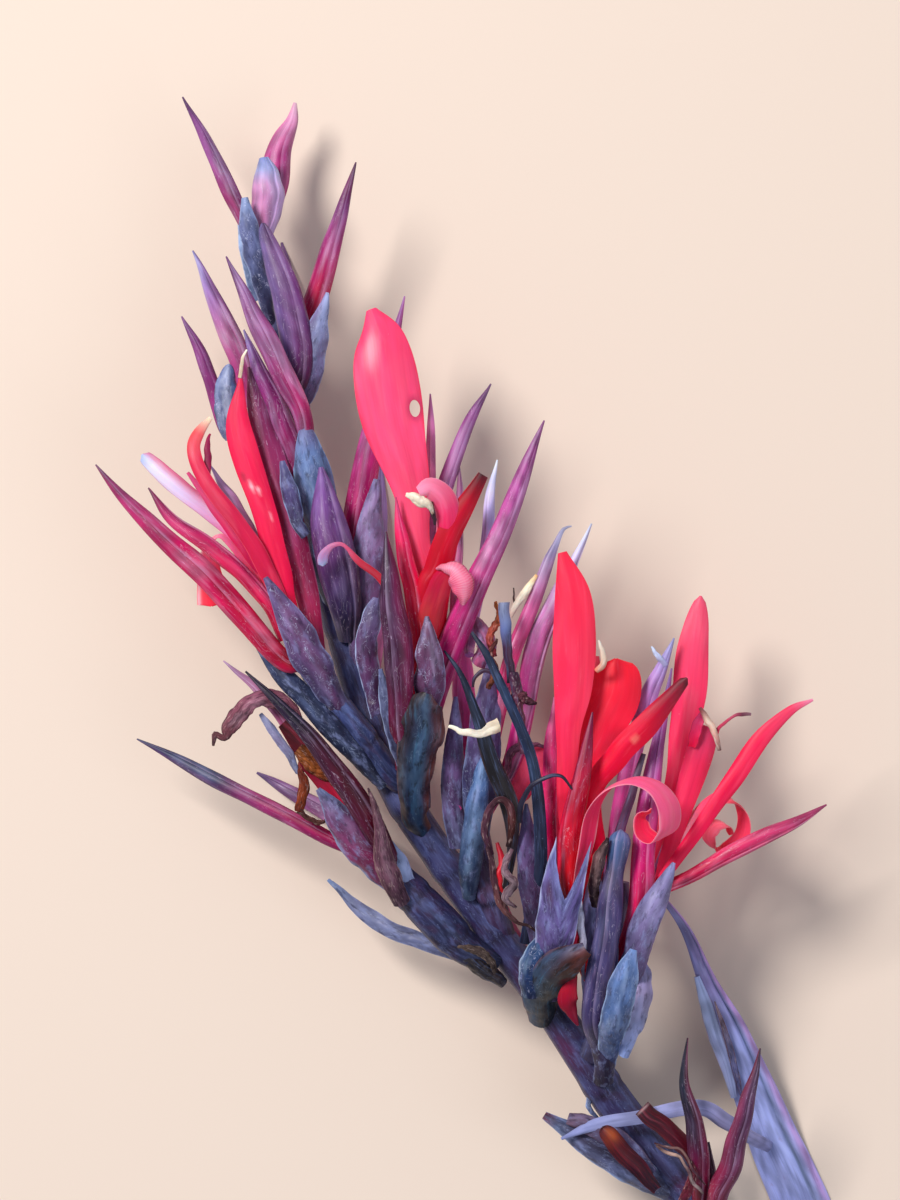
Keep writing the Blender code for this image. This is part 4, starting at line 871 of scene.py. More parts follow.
        1: "#FC98B4"}, route=[(-10, 5, 44, 3), (-6.4, 38, 51, 5), (-5.2, 48, 55, 6), (-6.2, 54.4, 57.5, 6.2),
        (-9.6, 57.6, 59, 5), (-12.6, 56.6, 59.4, 2.4)]),
    "rightTallPetal": dict(finish="petal", cup=0.1, edge=("#F84058", 0.14, 0.4), bloomAndSheen=("#FF5468", 0.5),
        side=("#FF4A60", 0.45), inner="#E02038", rows=96, tones={0: "#D81840", 0.3: "#F4304E", 0.6: "#FC3C60",
        1: "#FE3450"}, route=[(32, -56, 40, 3), (24.5, -28, 44, 4), (24.3, -5, 47, 5.6), (25.6, 8, 49, 9.4),
        (26, 20, 50, 11), (25.6, 31.3, 50, 9.2), (23, 41.8, 49, 2.2)]),
    "rightRoundPetal": dict(finish="petal", cup=0.1, spots=[(0.5, 0.75, 0.015, 0.1, "#FFB060", 0.7)],
        round=0.09, wave=(0.25, 5), edge=("#E81C34", 0.12, 0.4), bloomAndSheen=("#FF4C60", 0.4), inner="#D81C38",
        tones={0: "#E01C3C", 0.4: "#F82C4A", 0.7: "#FE3450", 1: "#FC3040"}, route=[(35, -52, 38, 3),
        (27.5, -18, 40, 7.4), (32.2, -2.5, 42, 11.4), (36.2, 7, 43, 12.8), (36.3, 15.4, 42, 12)]),
    "rightDarkTipPetal": dict(finish="petal", cup=0.14, spots=[(0.705, 0.1, 0.014, 0.3, "#FFA890", 0.45)],
        round=0.015, edge=("#F04058", 0.14, 0.4), bloomAndSheen=("#F04860", 0.4), inner="#B81030",
        tones={0: "#E02044", 0.5: "#EC1C40", 0.75: "#D8183A", 0.92: "#8A1A30", 1: "#4A1A24"},
        route=[(36, -46, 43, 3), (30, -20, 49, 5), (36.3, -8.8, 52, 6), (44, -0.5, 54, 6),
        (53.5, 10.8, 55, 2.2)]),
    "rightBackPetal": dict(finish="petal", cup=0.1, round=0.1, edge=("#D83450", 0.14, 0.5),
        bloomAndSheen=("#FA7C92", 0.6), inner="#D42A48", tones={0: "#D82050", 0.4: "#F03460", 0.7: "#FA4068",
        1: "#F8607C"}, route=[(38, -52, 34, 3), (49.5, -22, 31, 4.2), (53.5, -1.7, 32, 7),
        (54.8, 6.7, 32.6, 8.7), (55.7, 15, 33, 8.6), (56.8, 23.3, 33, 6.4), (57.8, 31, 32, 4)]),
    "rightLongPetal": dict(finish="petal", cup=0.14, edge=("#F84C64", 0.16, 0.4), bloomAndSheen=("#FA6078", 0.4),
        inner="#D02040", rows=96, tones={0: "#D81C48", 0.4: "#EC2450", 0.75: "#F02C54", 0.92: "#EC4468",
        1: "#E88CA8"}, route=[(40, -50, 44, 2.6), (52.5, -32.5, 48, 3), (65, -14.5, 50, 4.6),
        (72, -4.5, 50, 4.2), (79, 2.6, 50, 2.4), (84.8, 5.4, 50, 0.6)]),
    # painted light: the tones are brightened because the curl faces sideways to the light, and the pale stop
    # at 0.2 is a painted highlight
    "rightCurledPetal": dict(finish="petal", cup=0.06, edge=("#FFB0BC", 0.2, 0.6), bloomAndSheen=("#FA98A6", 0.5),
        inner="#F02858", sideHint=(-0.66, -0.3, 0.68), rows=130, tones={0: "#E83058", 0.2: "#FFA0B0",
        0.3: "#FF6C90", 0.6: "#FF6490", 1: "#FF688C"}, route=[(26, -52, 44, 2.6), (26.4, -41, 51, 4),
        (28.2, -31, 55, 5.4), (30.2, -21.6, 56.6, 5.8), (34.4, -16, 58, 5.4), (40.4, -14, 59, 5.6),
        (46, -16, 59.4, 6.6), (49.4, -20.8, 59, 7.6), (49.2, -26.2, 58.2, 7.4), (45.8, -29.2, 57, 6.6),
        (42.6, -27.4, 56, 6), (42.2, -23.6, 55.2, 5.2), (44.6, -21.6, 54.6, 4)]),
    "topBract": dict(finish="scuffed", cup=0.22, edge=("#98ACD4", 0.24, 0.75), bloomAndSheen=("#98B4DC", 0.5),
        inner="#4A3A66", tones={0: "#3C3C5C", 0.4: "#4A5278", 0.8: "#646C98", 1: "#7C90B8"},
        route=[(-49.4, 99, 25.4, 2.6), (-53, 112.5, 31, 4.8), (-55, 122.5, 33, 4.8), (-56, 130.5, 32, 1.6)]),
    "topPaleBract": dict(finish="bract", cup=0.15, edge=("#C4D8F4", 0.3, 0.7), bloomAndSheen=("#B8D0F0", 0.6),
        inner="#4A4A70", tones={0: "#5A6C98", 1: "#A0BCE4"}, route=[(-53.5, 105, 24, 2.5),
        (-56.3, 117.5, 25, 2.5), (-58, 127.8, 25, 1)]),
    "upperOvalBract": dict(finish="scuffed", cup=0.2, round=0.12, edge=("#2C3454", 0.14, 0.6),
        bloomAndSheen=("#DCE8FA", 0.7), inner="#3A3A5A", tones={0: "#3A4474", 0.4: "#445080", 1: "#6C80B8"},
        route=[(-59.5, 70, 27.8, 3), (-60.8, 75, 29.8, 5.2), (-60.9, 82, 29.8, 5.8), (-60.2, 89, 28.8, 2.4)]),
    "smallBlueBract": dict(finish="bract", cup=0.22, edge=("#98BCE8", 0.24, 0.7), bloomAndSheen=("#A4B0D8", 0.35),
        inner="#3A3A5A", tones={0: "#34284A", 0.5: "#403460", 1: "#606090"}, route=[(-40.4, 46, 42, 2.6),
        (-42.5, 48.8, 43, 3), (-44.5, 56.3, 44, 4.5), (-46.3, 64.5, 43, 1.2)]),
    "leftPalePetal": dict(finish="petal", cup=0.18, round=0.03, edge=("#C04A80", 0.16, 0.5),
        bloomAndSheen=("#F6E4F4", 0.5), side=("#D83C68", 0.75), inner="#E06A9A", tones={0: "#E0283C", 0.3: "#E05088",
        0.5: "#E0A0CC", 0.7: "#E4D0F0", 0.92: "#E0E4FA", 1: "#A4C4F0"}, route=[(-49.5, 32.5, 40, 3),
        (-56, 43.8, 41, 3.6), (-65.8, 53, 41, 4.4), (-76.4, 61.6, 41, 4.6), (-81.2, 66.2, 40.6, 3.2)]),
    "leftLoopPetal": dict(finish="petal", cup=0.04, rows=90, round=0.001, sideHint=[(0, 0.7, 0.7, -0.1),
        (0.35, 0.55, 0.4, -0.72), (0.5, 0.3, 0.1, -0.9), (0.66, -0.7, 0.1, -0.6), (0.8, -1, 0, -0.1),
        (1, -1, 0, 0)], edge=("#F03038", 0.1, 0.3), bands=[(0.88, 0.17, "#F8C4CC", 0.85)],
        bloomAndSheen=("#FA8C94", 0.3), inner="#D81C34", tones={0: "#E4304C", 0.4: "#FC6C98", 0.55: "#FE90B4",
        0.7: "#FC5C80", 0.85: "#FF4058", 1: "#FF3C50"}, route=[(-50, 30, 38.5, 4), (-54.5, 38, 39.5, 4),
        (-58.6, 44, 40, 4.4), (-61.8, 46.2, 40, 4.8), (-64.2, 44, 38.8, 5.2), (-65, 39.5, 37.6, 6),
        (-64.6, 34, 36.9, 6.8), (-64.2, 28.5, 36.4, 7)]),
    # painted shade: this sheet stands for the shaded inside of the left curl, coloured darker than the petal
    "leftCurlInner": dict(finish="petal", cup=0.1, inner="#3A1024", tones={0: "#A02850", 0.5: "#7A1E44",
        1: "#942850"}, route=[(-64.7, 59.4, 46.6, 0.6), (-64.7, 63.4, 45.4, 1.7), (-65, 67.6, 45, 1.6),
        (-64.4, 71.2, 43.8, 0.5)]),
    "leafFoldInside": dict(finish="dry", cup=-0.1, edge=("#7A4A44", 0.3, 0.6), inner="#3A3048",
        tones={0: "#5C5C8C", 0.5: "#6E6E94", 0.8: "#7A6878", 1: "#7A6870"}, route=[(68.8, -95.4, 9.2, 0.6),
        (67.6, -90, 12.4, 1.5), (65.8, -83.4, 16.2, 1.7), (63.6, -76.4, 20.2, 1.2),
        (61.6, -70.8, 23.2, 0.3)]),
    "leafFoldStrip": dict(finish="leaf", cup=0.2, edge=("#A8748C", 0.16, 0.6), bloomAndSheen=("#A8B4E4", 0.5),
        bands=[(0.3, 0.2, "#5A6488", 0.5)], inner="#54567C", tones={0: "#96A0C8", 0.5: "#A4B0D8",
        1: "#98A8D0"}, route=[(67, -96, 9.4, 1.6), (64.9, -87.4, 14.4, 3.2), (61.9, -79.4, 18.4, 3.6),
        (59.4, -71.6, 22.6, 3), (57, -64.4, 26.6, 1.4)]),
    "driedPetal": dict(finish="dry", cup=0.12, ragged=0.09, wave=(0.3, 4), crumple=0.3,
        edge=("#3A2226", 0.2, 0.6), bloomAndSheen=("#D8B8C4", 0.5), inner="#6A403C", tones={0: "#6E3A46",
        0.4: "#8E5468", 0.75: "#76424C", 1: "#3C1E1C"}, route=[(-42.5, 0, 41, 3), (-46, 4.2, 43, 4.4),
        (-50, 5.8, 44, 4.5), (-54, 4.6, 45, 4), (-57.3, 1.4, 44, 4.8), (-60, -2, 43, 3.4),
        (-60.8, -4.2, 42, 1.6), (-63.2, -3.4, 41, 1.4), (-63.8, -6.2, 40.5, 0.6)]),
    "paperyBract": dict(finish="dry", cup=0.3, wave=(0.2, 3), crumple=0.16, edge=("#A88680", 0.2, 0.5),
        bloomAndSheen=("#A08C98", 0.3), inner="#5E3C38", tones={0: "#4A3040", 0.35: "#6A4454", 0.7: "#684050",
        1: "#54383E"}, route=[(-16.5, -46, 40, 4.4), (-19.3, -39.5, 45, 5.4), (-21.2, -34.5, 46, 5),
        (-22, -27.5, 48, 2.8), (-23.2, -22, 49, 1.8), (-25.2, -16.5, 49, 0.4)]),
    "lowerBlueBract": dict(finish="bract", cup=0.25, edge=("#B0C0E4", 0.2, 0.6), bloomAndSheen=("#B4C4E8", 0.5),
        inner="#54507A", tones={0: "#6C7CA8", 0.5: "#90A0D0", 1: "#A4B8E0"}, route=[(-9, -49, 34, 5),
        (-14.5, -43, 37, 5), (-17, -36.3, 39, 4.4), (-20.5, -29, 39, 1)]),
    "lowerInnerPetal": dict(finish="petal", cup=-0.15, edge=("#6A1428", 0.2, 0.5), bloomAndSheen=("#D04060", 0.3),
        inner="#8A1834", tones={0: "#A01A3C", 0.35: "#B81C3C", 0.6: "#7A1A30", 0.85: "#4A1620", 1: "#2E1216"},
        route=[(-21, -32, 38, 4), (-26, -25.5, 39, 7), (-31.3, -18.8, 40, 8.4), (-38.8, -8.8, 40, 7.4),
        (-46.3, -0.5, 40, 3)]),
    "greyStrip": dict(finish="bract", cup=0.2, edge=("#B4C4E4", 0.25, 0.5), bloomAndSheen=("#B8C8E8", 0.5),
        inner="#54507A", tones={0: "#4A4460", 0.5: "#7A7094", 1: "#8C90B4"}, route=[(-42.5, -13, 41, 1.2),
        (-45, -8, 42, 2.2), (-49, -2.4, 42, 2.2), (-51.8, 1.8, 41, 1)]),
    "orangeTissue": dict(finish="dry", cup=0.05, crumple=0.3, edge=("#4A1E18", 0.25, 0.6),
        bloomAndSheen=("#C87C34", 0.35), inner="#6A341C", tones={0: "#4A1A18", 0.4: "#743418", 0.8: "#84441C",
        1: "#5A2C18"}, route=[(-32.4, -16, 39.5, 2), (-35.6, -13, 41.2, 4.6), (-39, -9.8, 42.4, 5.8),
        (-42.4, -6.8, 42.4, 3)]),
    "hangingStrip": dict(finish="dry", cup=0.3, crumple=0.25, wave=(0.3, 3), edge=("#3A201C", 0.25, 0.5),
        bloomAndSheen=("#A05C34", 0.3), inner="#4A2822", tones={0: "#6A1C24", 0.3: "#6A2818", 0.7: "#8A3C1C",
        1: "#6A2818"}, route=[(-41.6, -9.6, 41, 1.6), (-42, -12.4, 41.4, 1.6), (-41, -15.6, 41.6, 2.6),
        (-41.5, -18.8, 41, 2.6), (-42.6, -22.6, 40, 2.2)]),
    "secondStrip": dict(finish="dry", cup=0.2, crumple=0.3, inner="#3A201C", tones={0: "#4A2A26",
        1: "#5A342C"}, route=[(-42.4, -22.4, 40, 1.6), (-40, -24.4, 39, 1.2), (-37.4, -25.4, 38.6, 1.2),
        (-35.6, -24.6, 38.6, 0.5)]),
    "centreSmallCurl": dict(finish="petal", cup=0.16, rows=90, round=0.004, ragged=0.08,
        edge=("#F0B8CC", 0.2, 0.4), bloomAndSheen=("#F4C0CC", 0.2), inner="#C83058", tones={0: "#BC0C2C",
        0.5: "#C4102C", 0.64: "#CC1C3C", 0.75: "#D04C70", 0.86: "#BC749C", 0.95: "#A888B8", 1: "#98AED0"},
        route=[(-14, 17, 46, 1.8), (-20, 32.5, 50, 2), (-27.5, 39.8, 52.6, 1.6), (-30, 42.6, 53, 0.9),
        (-31.8, 43.7, 53, 1), (-34, 43.2, 52.8, 1.5), (-35.9, 41.4, 52.4, 2.2), (-36.4, 39.8, 52, 2.5),
        (-36.2, 38.4, 51.6, 2.2)]),
    # painted highlight: the pale pink band down the middle of the curl
    "stripedCurl": dict(finish="petal", cup=0.34, rows=90, bars=(0.62, "#FBC4D0", 0.32),
        bands=[(-0.96, 0.1, "#6A1C48", 0.8), (-0.1, 0.4, "#F8A8BC", 0.5), (0.95, 0.12, "#8A2450", 0.6)],
        inner="#D81E3C", tones={0: "#C8406A", 0.3: "#EE7C98", 0.6: "#F2648A", 0.85: "#E8547C", 1: "#A82C54"},
        route=[(-8.2, 37.8, 56.4, 0.7), (-6.4, 37.9, 60, 2.4), (-3.8, 37.2, 61.6, 4.8), (-2, 34.2, 62, 6),
        (-1.5, 31.2, 61, 4.8), (-1.5, 28.8, 59, 1.4)]),
    "curlBase": dict(finish="petal", cup=0.12, edge=("#C81C38", 0.2, 0.4), bloomAndSheen=("#F88068", 0.2),
        inner="#C81830", tones={0: "#900E2C", 0.35: "#A81634", 0.6: "#B8303A", 0.8: "#B42640", 1: "#C01A44"},
        route=[(-12, 6, 46, 3.4), (-11.4, 16, 49, 4.8), (-10, 25, 52, 5.6), (-7.6, 33, 55, 5.4),
        (-5, 37, 57.4, 4.4)]),
    "sideBractUpper": dict(finish="scuffed", cup=0.2, edge=("#B8CCF4", 0.18, 0.9), bloomAndSheen=("#B4AEDC", 0.4),
        inner="#4A2E50", tones={0: "#38284C", 0.5: "#5A2E58", 1: "#605A84"}, route=[(-22.8, 1.6, 47.8, 3.4),
        (-23.8, 5.5, 44, 4), (-25.5, 17.5, 47, 5.5), (-24.5, 25, 48, 5), (-23, 30.5, 47, 1.5)]),
    "sideBractLower": dict(finish="bract", cup=0.2, edge=("#B8CCF0", 0.2, 0.7), bloomAndSheen=("#B8C8EC", 0.25),
        inner="#3A3050", tones={0: "#2A2844", 0.6: "#484A70", 1: "#66709C"}, route=[(-15, -14, 41, 3.6),
        (-18, -5, 46, 4), (-20.5, 4, 49, 3.6), (-22, 13, 50, 1)]),
    "curlCreamShred": dict(finish="cream", cup=0.3, crumple=0.2, edge=("#5A3C2C", 0.2, 0.5),
        bloomAndSheen=("#FFF8E8", 0.4), inner="#A88A64", tones={0: "#F2E4C8", 0.6: "#EFE2C6", 1: "#6A4A34"},
        route=[(-15.6, 56, 59.2, 1), (-13.6, 55.4, 59.6, 2.4), (-11.8, 54, 59.4, 3), (-10, 53.2, 58.8, 1.8),
        (-8.9, 51.2, 58.2, 0.5)]),
    "curlDarkThread": dict(finish="dry", cup=0.1, inner="#2A1E22", tones={0: "#4A3034", 1: "#3A2A34"},
        route=[(-9.6, 54, 57.6, 1), (-8.9, 51, 56.6, 1.2), (-8.7, 48.4, 55.6, 0.5)]),
    "secondDarkLeaf": dict(finish="dark", cup=0.15, edge=("#5A3A34", 0.22, 0.5), bloomAndSheen=("#4A5A80", 0.3),
        inner="#1A1418", tones={0: "#181214", 0.3: "#2C1C16", 0.5: "#141014", 0.7: "#101624", 1: "#14203C"},
        route=[(9, -42, 38, 1.6), (10.6, -31, 45, 2.6), (9.5, -20, 49.6, 4.6), (5, -8.8, 52, 4.2),
        (2, 1.3, 53, 2.8), (-2, 11.3, 53, 1.4), (-6.3, 17.5, 52, 0.5)]),
    "bentStick": dict(finish="dark", cup=0.25, ragged=0.08, edge=("#6A80AC", 0.2, 0.5),
        bloomAndSheen=("#7C94BC", 0.4), inner="#1C1C2C", tones={0: "#2E1426", 0.45: "#3C1C36", 0.68: "#566496",
        1: "#8890B0"}, route=[(10.3, 9.5, 50.3, 2), (9.4, 17, 52.3, 2.3), (8.9, 24, 53.3, 2.7),
        (8.6, 29.4, 53.3, 2.8)]),
    "stickFoot": dict(finish="dark", cup=0.3, crumple=0.3, edge=("#6A3A48", 0.2, 0.4), bloomAndSheen=("#7A4A5A", 0.3),
        inner="#1C1418", tones={0: "#4A1A2E", 0.6: "#5E2038", 1: "#3A1A36"}, route=[(13.6, -8, 51.3, 2),
        (12.5, 0, 52.3, 2.6), (11.4, 8, 51.8, 2.8), (10.8, 12.2, 51.3, 2)]),
    "ovaryBract": dict(finish="bract", cup=0.3, edge=("#8CA4D0", 0.2, 0.5), bloomAndSheen=("#8CA0CC", 0.5),
        inner="#3A2C48", tones={0: "#40305A", 0.4: "#604472", 0.8: "#7A5C94", 1: "#8074B4"},
        route=[(-2, -32, 34, 5.5), (-4, -20, 38, 6), (-4, -8, 41, 5), (-3.3, 6, 41, 1)]),
    "tealBract": dict(finish="bract", cup=0.28, edge=("#1E2A40", 0.18, 0.5), bloomAndSheen=("#94B4D8", 0.5),
        inner="#2A2A40", tones={0: "#202A48", 0.4: "#2E4468", 0.75: "#3E5A8C", 1: "#4E70A0"},
        route=[(0, -45, 34, 3.6), (0.2, -36, 43, 5.6), (1.5, -24, 48, 5.8), (2.7, -14, 49.4, 4.2),
        (3.7, -8, 49, 0.9)]),
    "purpleBract": dict(finish="bract", cup=0.26, edge=("#5C6894", 0.18, 0.4), bloomAndSheen=("#8084B4", 0.4),
        inner="#3A2848", tones={0: "#3C3058", 0.5: "#60446E", 0.85: "#6C5088", 1: "#4E5A80"},
        route=[(20, -66, 27, 4), (16.5, -47, 40, 6), (14.5, -32.5, 44, 6), (14, -20.5, 44, 0.8)]),
    # painted light: the tones are brighter than the petal's own, to offset the shade it lies in
    "redPatchPetal": dict(finish="petal", cup=0.1, edge=("#B01830", 0.14, 0.5), bloomAndSheen=("#FF4A58", 0.4),
        inner="#C01830", tones={0: "#E04068", 0.5: "#FF6088", 1: "#FF6088"}, route=[(10, -22, 30, 5),
        (12.5, -16, 36, 8), (15, -9.5, 38, 8.4), (16, -5.6, 38, 6)]),
    "patchDarkEdge": dict(finish="dry", cup=0.3, crumple=0.4, inner="#2A161C", tones={0: "#8A5068",
        1: "#7A4A66"}, route=[(9, -13.5, 40, 1.4), (10.5, -8, 41, 2), (14, -6, 41, 1.6),
        (18.5, -6.4, 40, 1)]),
    "creamAnther": dict(finish="cream", cup=0.3, crumple=0.12, edge=("#C8A070", 0.2, 0.5),
        bloomAndSheen=("#FFFCEC", 0.5), inner="#C8A880", tones={0: "#E8C0B0", 0.3: "#F8EAD4", 0.75: "#F4E8C0",
        1: "#D8A860"}, route=[(9.9, 25.8, 44.3, 1), (11.8, 29, 45.3, 1.7), (14.4, 32.8, 45.3, 1.8),
        (16.6, 36.2, 44.3, 0.7)]),
    "antherThread": dict(finish="dry", cup=0.1, inner="#2A1E1C", tones={0: "#5A3A34", 1: "#3A2A2A"},
        route=[(11.4, 27.6, 44.3, 0.5), (11, 30.6, 44.8, 0.5), (10.9, 33, 44.3, 0.3)]),
    "creamShred": dict(finish="cream", cup=0.25, crumple=0.1, edge=("#D0B48C", 0.15, 0.4),
        bloomAndSheen=("#FFFFF4", 0.4), inner="#C8AC84", tones={0: "#F8ECD2", 0.5: "#F8ECD4", 1: "#E8D2AC"},
        route=[(-5.2, -1.2, 52.2, 0.7), (-1.5, -2.7, 53.2, 1.6), (2.6, -2.7, 53.2, 2.2),
        (5.4, -1.4, 53.2, 3.2), (7.4, -0.8, 52.8, 3.4)]),
    "archedThread": dict(finish="dark", cup=0.1, inner="#161620", tones={0: "#1C1C2C", 1: "#2A2038"},
        route=[(12.5, -25, 50, 1.2), (12.8, -20, 54, 1.4), (15.2, -15.6, 56, 1.2), (19, -13.6, 57, 1),
        (22.6, -13.4, 57, 0.8), (25, -16.6, 56.4, 0.5)]),
    "smallHook": dict(finish="dark", cup=0.1, inner="#241828", tones={0: "#3A2440", 1: "#4A2A40"},
        route=[(9.4, 7.8, 51, 1.2), (7.4, 8, 47, 1.2), (6, 11.6, 48, 1.2), (3.4, 12.6, 48, 1.1),
        (1.4, 10.8, 48, 0.9), (0.8, 8.4, 48, 0.5)]),
    "driedKnot": dict(finish="dry", cup=0.4, crumple=0.6, edge=("#7A4650", 0.2, 0.5), bloomAndSheen=("#8A5660", 0.4),
        inner="#2A161C", tones={0: "#4A2430", 0.5: "#5A2C38", 1: "#2A1620"}, route=[(11, 4.4, 51.3, 2),
        (12.2, 6.4, 52.3, 3.2), (13.6, 5.6, 52.3, 2.8), (15, 5, 51.3, 1.8), (16.5, 4.4, 50.9, 0.7)]),
    "driedWisp": dict(finish="dry", cup=0.3, crumple=0.5, edge=("#4A2420", 0.2, 0.5), bloomAndSheen=("#C07A3C", 0.35),
        inner="#4A1E20", tones={0: "#A83848", 0.5: "#C05848", 1: "#D88048"}, route=[(6.4, 16, 47, 1.4),
        (5, 21, 48, 2.1), (7.2, 25.6, 48, 1.7), (6.4, 29.6, 47, 0.6)]),
    "driedFold": dict(finish="bract", cup=0.35, crumple=0.12, edge=("#A87884", 0.16, 0.6),
        bloomAndSheen=("#A05068", 0.35), inner="#70345A", tones={0: "#A0406C", 0.5: "#C070A4", 1: "#A0587C"},
        route=[(2, 13.5, 44, 4), (4.4, 18, 46, 5), (2.4, 23, 46, 3.4), (0.6, 26.6, 45, 1)]),
    "shredHook": dict(finish="dry", cup=0.35, crumple=0.12, rows=80, wave=(0.3, 6), ragged=0.1,
        edge=("#B890A0", 0.2, 0.5), bloomAndSheen=("#B88C9C", 0.25), inner="#3A1C20", tones={0: "#3E1E30",
        0.3: "#5A3444", 0.5: "#40202A", 0.75: "#4A1E18", 1: "#241214"}, route=[(5.6, -33, 49, 0.9),
        (3.7, -27.5, 50.6, 1.7), (4.6, -22.4, 51.6, 1.9), (7.1, -19.3, 52.2, 1.7), (9.6, -20.6, 52.4, 1.9),
        (10.4, -25.4, 52.2, 1.7), (9.6, -31, 51.6, 1.2)]),
    "shredStrand": dict(finish="dry", cup=0.35, crumple=0.14, rows=80, wave=(0.35, 7), ragged=0.12,
        edge=("#B08C8C", 0.2, 0.5), bloomAndSheen=("#B08490", 0.25), inner="#3A1C20", tones={0: "#52343E",
        0.4: "#42242E", 0.7: "#5E3430", 1: "#3A201C"}, route=[(4.4, -31, 50.4, 0.7), (5.6, -35.6, 51, 1.5),
        (6.4, -41, 51, 1.8), (8, -46, 50, 1.4), (12.4, -50.2, 48, 0.5)]),
    "shredPale": dict(finish="dry", cup=0.4, crumple=0.2, rows=90, wave=(0.4, 8), ragged=0.16,
        edge=("#D8C4C8", 0.25, 0.6), bloomAndSheen=("#D8C4CC", 0.3), inner="#4A2428", tones={0: "#5E444E",
        0.35: "#8A6C76", 0.6: "#4E343C", 0.8: "#8C707C", 1: "#3A2028"}, route=[(10.6, -31.5, 52, 0.8),
        (8.4, -36.4, 52.4, 1.8), (10.8, -40, 52.4, 2.4), (8.8, -43.4, 52, 1.8), (11.6, -46, 51, 0.6)]),
    "shredRed": dict(finish="petal", cup=0.3, wave=(0.3, 5), inner="#6A1420", tones={0: "#8A1C2C",
        0.5: "#D82838", 1: "#A82024"}, route=[(6.8, -30, 48.6, 0.8), (8, -35, 50, 1.8),
        (7.2, -39.4, 50.4, 1.4), (8.8, -42.8, 50, 0.5)]),
    "shredThread": dict(finish="dry", cup=0.2, crumple=0.1, edge=("#B89890", 0.2, 0.5), inner="#2A181A",
        tones={0: "#7A5A58", 0.5: "#4A2C2C", 1: "#2E1C20"}, route=[(9.8, -41, 50.4, 0.6),
        (8.6, -46, 49.6, 0.9), (11, -49.4, 48.6, 0.8), (14.6, -50.6, 47.6, 0.7), (17.6, -53, 46.6, 0.3)]),
    "redSliverUpper": dict(finish="petal", cup=0.1, edge=("#8A1434", 0.14, 0.4), inner="#8A1430",
        tones={0: "#A01438", 0.6: "#D01C40", 0.9: "#6A142C", 1: "#3A1020"}, route=[(24, -59.6, 46, 1.6),
        (25, -55.4, 48, 2.8), (26, -51.6, 49, 2), (26.8, -48.6, 49, 0.5)]),
    # painted light: the tones are far lighter than the dark bract's own, to offset the shade it lies in
    "darkGapBract": dict(finish="bract", cup=0.2, edge=("#6070A0", 0.2, 0.4), bloomAndSheen=("#8C98D0", 0.4),
        inner="#120E1A", tones={0: "#7C78B4", 0.5: "#8C8CCC", 1: "#8484C0"}, route=[(30, -74, 36, 3),
        (30, -60, 42, 5), (30.6, -46, 46.6, 5), (31.4, -36, 48, 1.4)]),
    "paleStrip": dict(finish="bract", cup=0.2, edge=("#C0D8F8", 0.25, 0.6), inner="#3A3A5A",
        tones={0: "#8C84A4", 0.5: "#C8C4E0", 1: "#DCDCF0"}, route=[(28.2, -64, 46, 0.6), (28, -56, 48.6, 1.7),
        (27.6, -48.6, 50, 1.5), (27.2, -43, 50.6, 0.4)]),
    "rightCutPetal": dict(finish="petal", cup=0.16, edge=("#F04860", 0.14, 0.4), bloomAndSheen=("#F86078", 0.4),
        side=("#D82448", 0.3), inner="#B81838", tones={0: "#E82C54", 0.5: "#F83C66", 0.85: "#F43C64",
        1: "#E85480"}, route=[(37.4, -57.4, 36.4, 2.6), (45, -52, 33, 3), (49, -36, 35, 4),
        (52.4, -24, 38, 5), (55, -15.5, 39, 6.3), (57.3, -7.5, 40, 7), (59.2, -1.4, 41, 6.4)]),
    "cutPetalRim": dict(finish="cream", cup=0.4, crumple=0.1, edge=("#4A2A28", 0.2, 0.6),
        bloomAndSheen=("#F0D8C0", 0.25), inner="#4A1E24", tones={0: "#4A2028", 0.3: "#C8988A", 0.7: "#E8C8AC",
        1: "#B04858"}, route=[(61.8, -7.4, 42.6, 0.9), (61, -3.2, 43.6, 1.5), (58.8, 0.6, 44.2, 1.6),
        (57, 3.2, 43.8, 0.7)]),
    "cutPetalFold": dict(finish="petal", cup=-0.2, edge=("#A02848", 0.2, 0.4), bloomAndSheen=("#F0A0C0", 0.4),
        inner="#A82040", tones={0: "#F02048", 0.5: "#FF4070", 1: "#F05A90"}, route=[(55.2, -6.4, 41, 2),
        (56, -3, 42.4, 2.8), (57, 0, 42.8, 2.4), (58, 2.4, 42, 0.8)]),
    "filament": dict(finish="petal", cup=0.1, inner="#A03048", tones={0: "#C8405C", 0.6: "#B8506A",
        0.8: "#6A3A4A", 1: "#8A6A74"}, route=[(60.8, -3.2, 42, 0.9), (62.6, -0.8, 43, 0.8),
        (65.4, 1.2, 44, 0.7), (67.6, 1.5, 44, 1), (69.8, 1.4, 43.6, 0.7)]),
    # painted light: the tones are brighter than the curl's own, to offset the shade the pieces above cast on
    # it
    "rightSmallCurl": dict(finish="petal", cup=0.06, rows=120, sideHint=(0.6, -0.4, 0.68),
        edge=("#FCA8B0", 0.14, 0.5), bloomAndSheen=("#FA98A4", 0.3), inner="#F04868", tones={0: "#F02858",
        0.25: "#FF7C9C", 0.36: "#FFB0C4", 0.46: "#FF5C80", 0.6: "#FF3C5C", 0.8: "#FF6480", 1: "#FF7890"},
        route=[(38.8, -50, 34.6, 2.6), (47, -42, 33, 3), (50, -36, 34, 3.8), (54, -27.6, 36.4, 4.6),
        (58.6, -21.6, 38.6, 5), (62.6, -19.2, 39.8, 5), (66.4, -20.6, 40.2, 5.2), (68.4, -24.4, 40, 5.2),
        (67.8, -28.8, 39.4, 5), (64.8, -31.9, 38.6, 5), (61.4, -32, 38, 5), (59.4, -28.8, 37.6, 5),
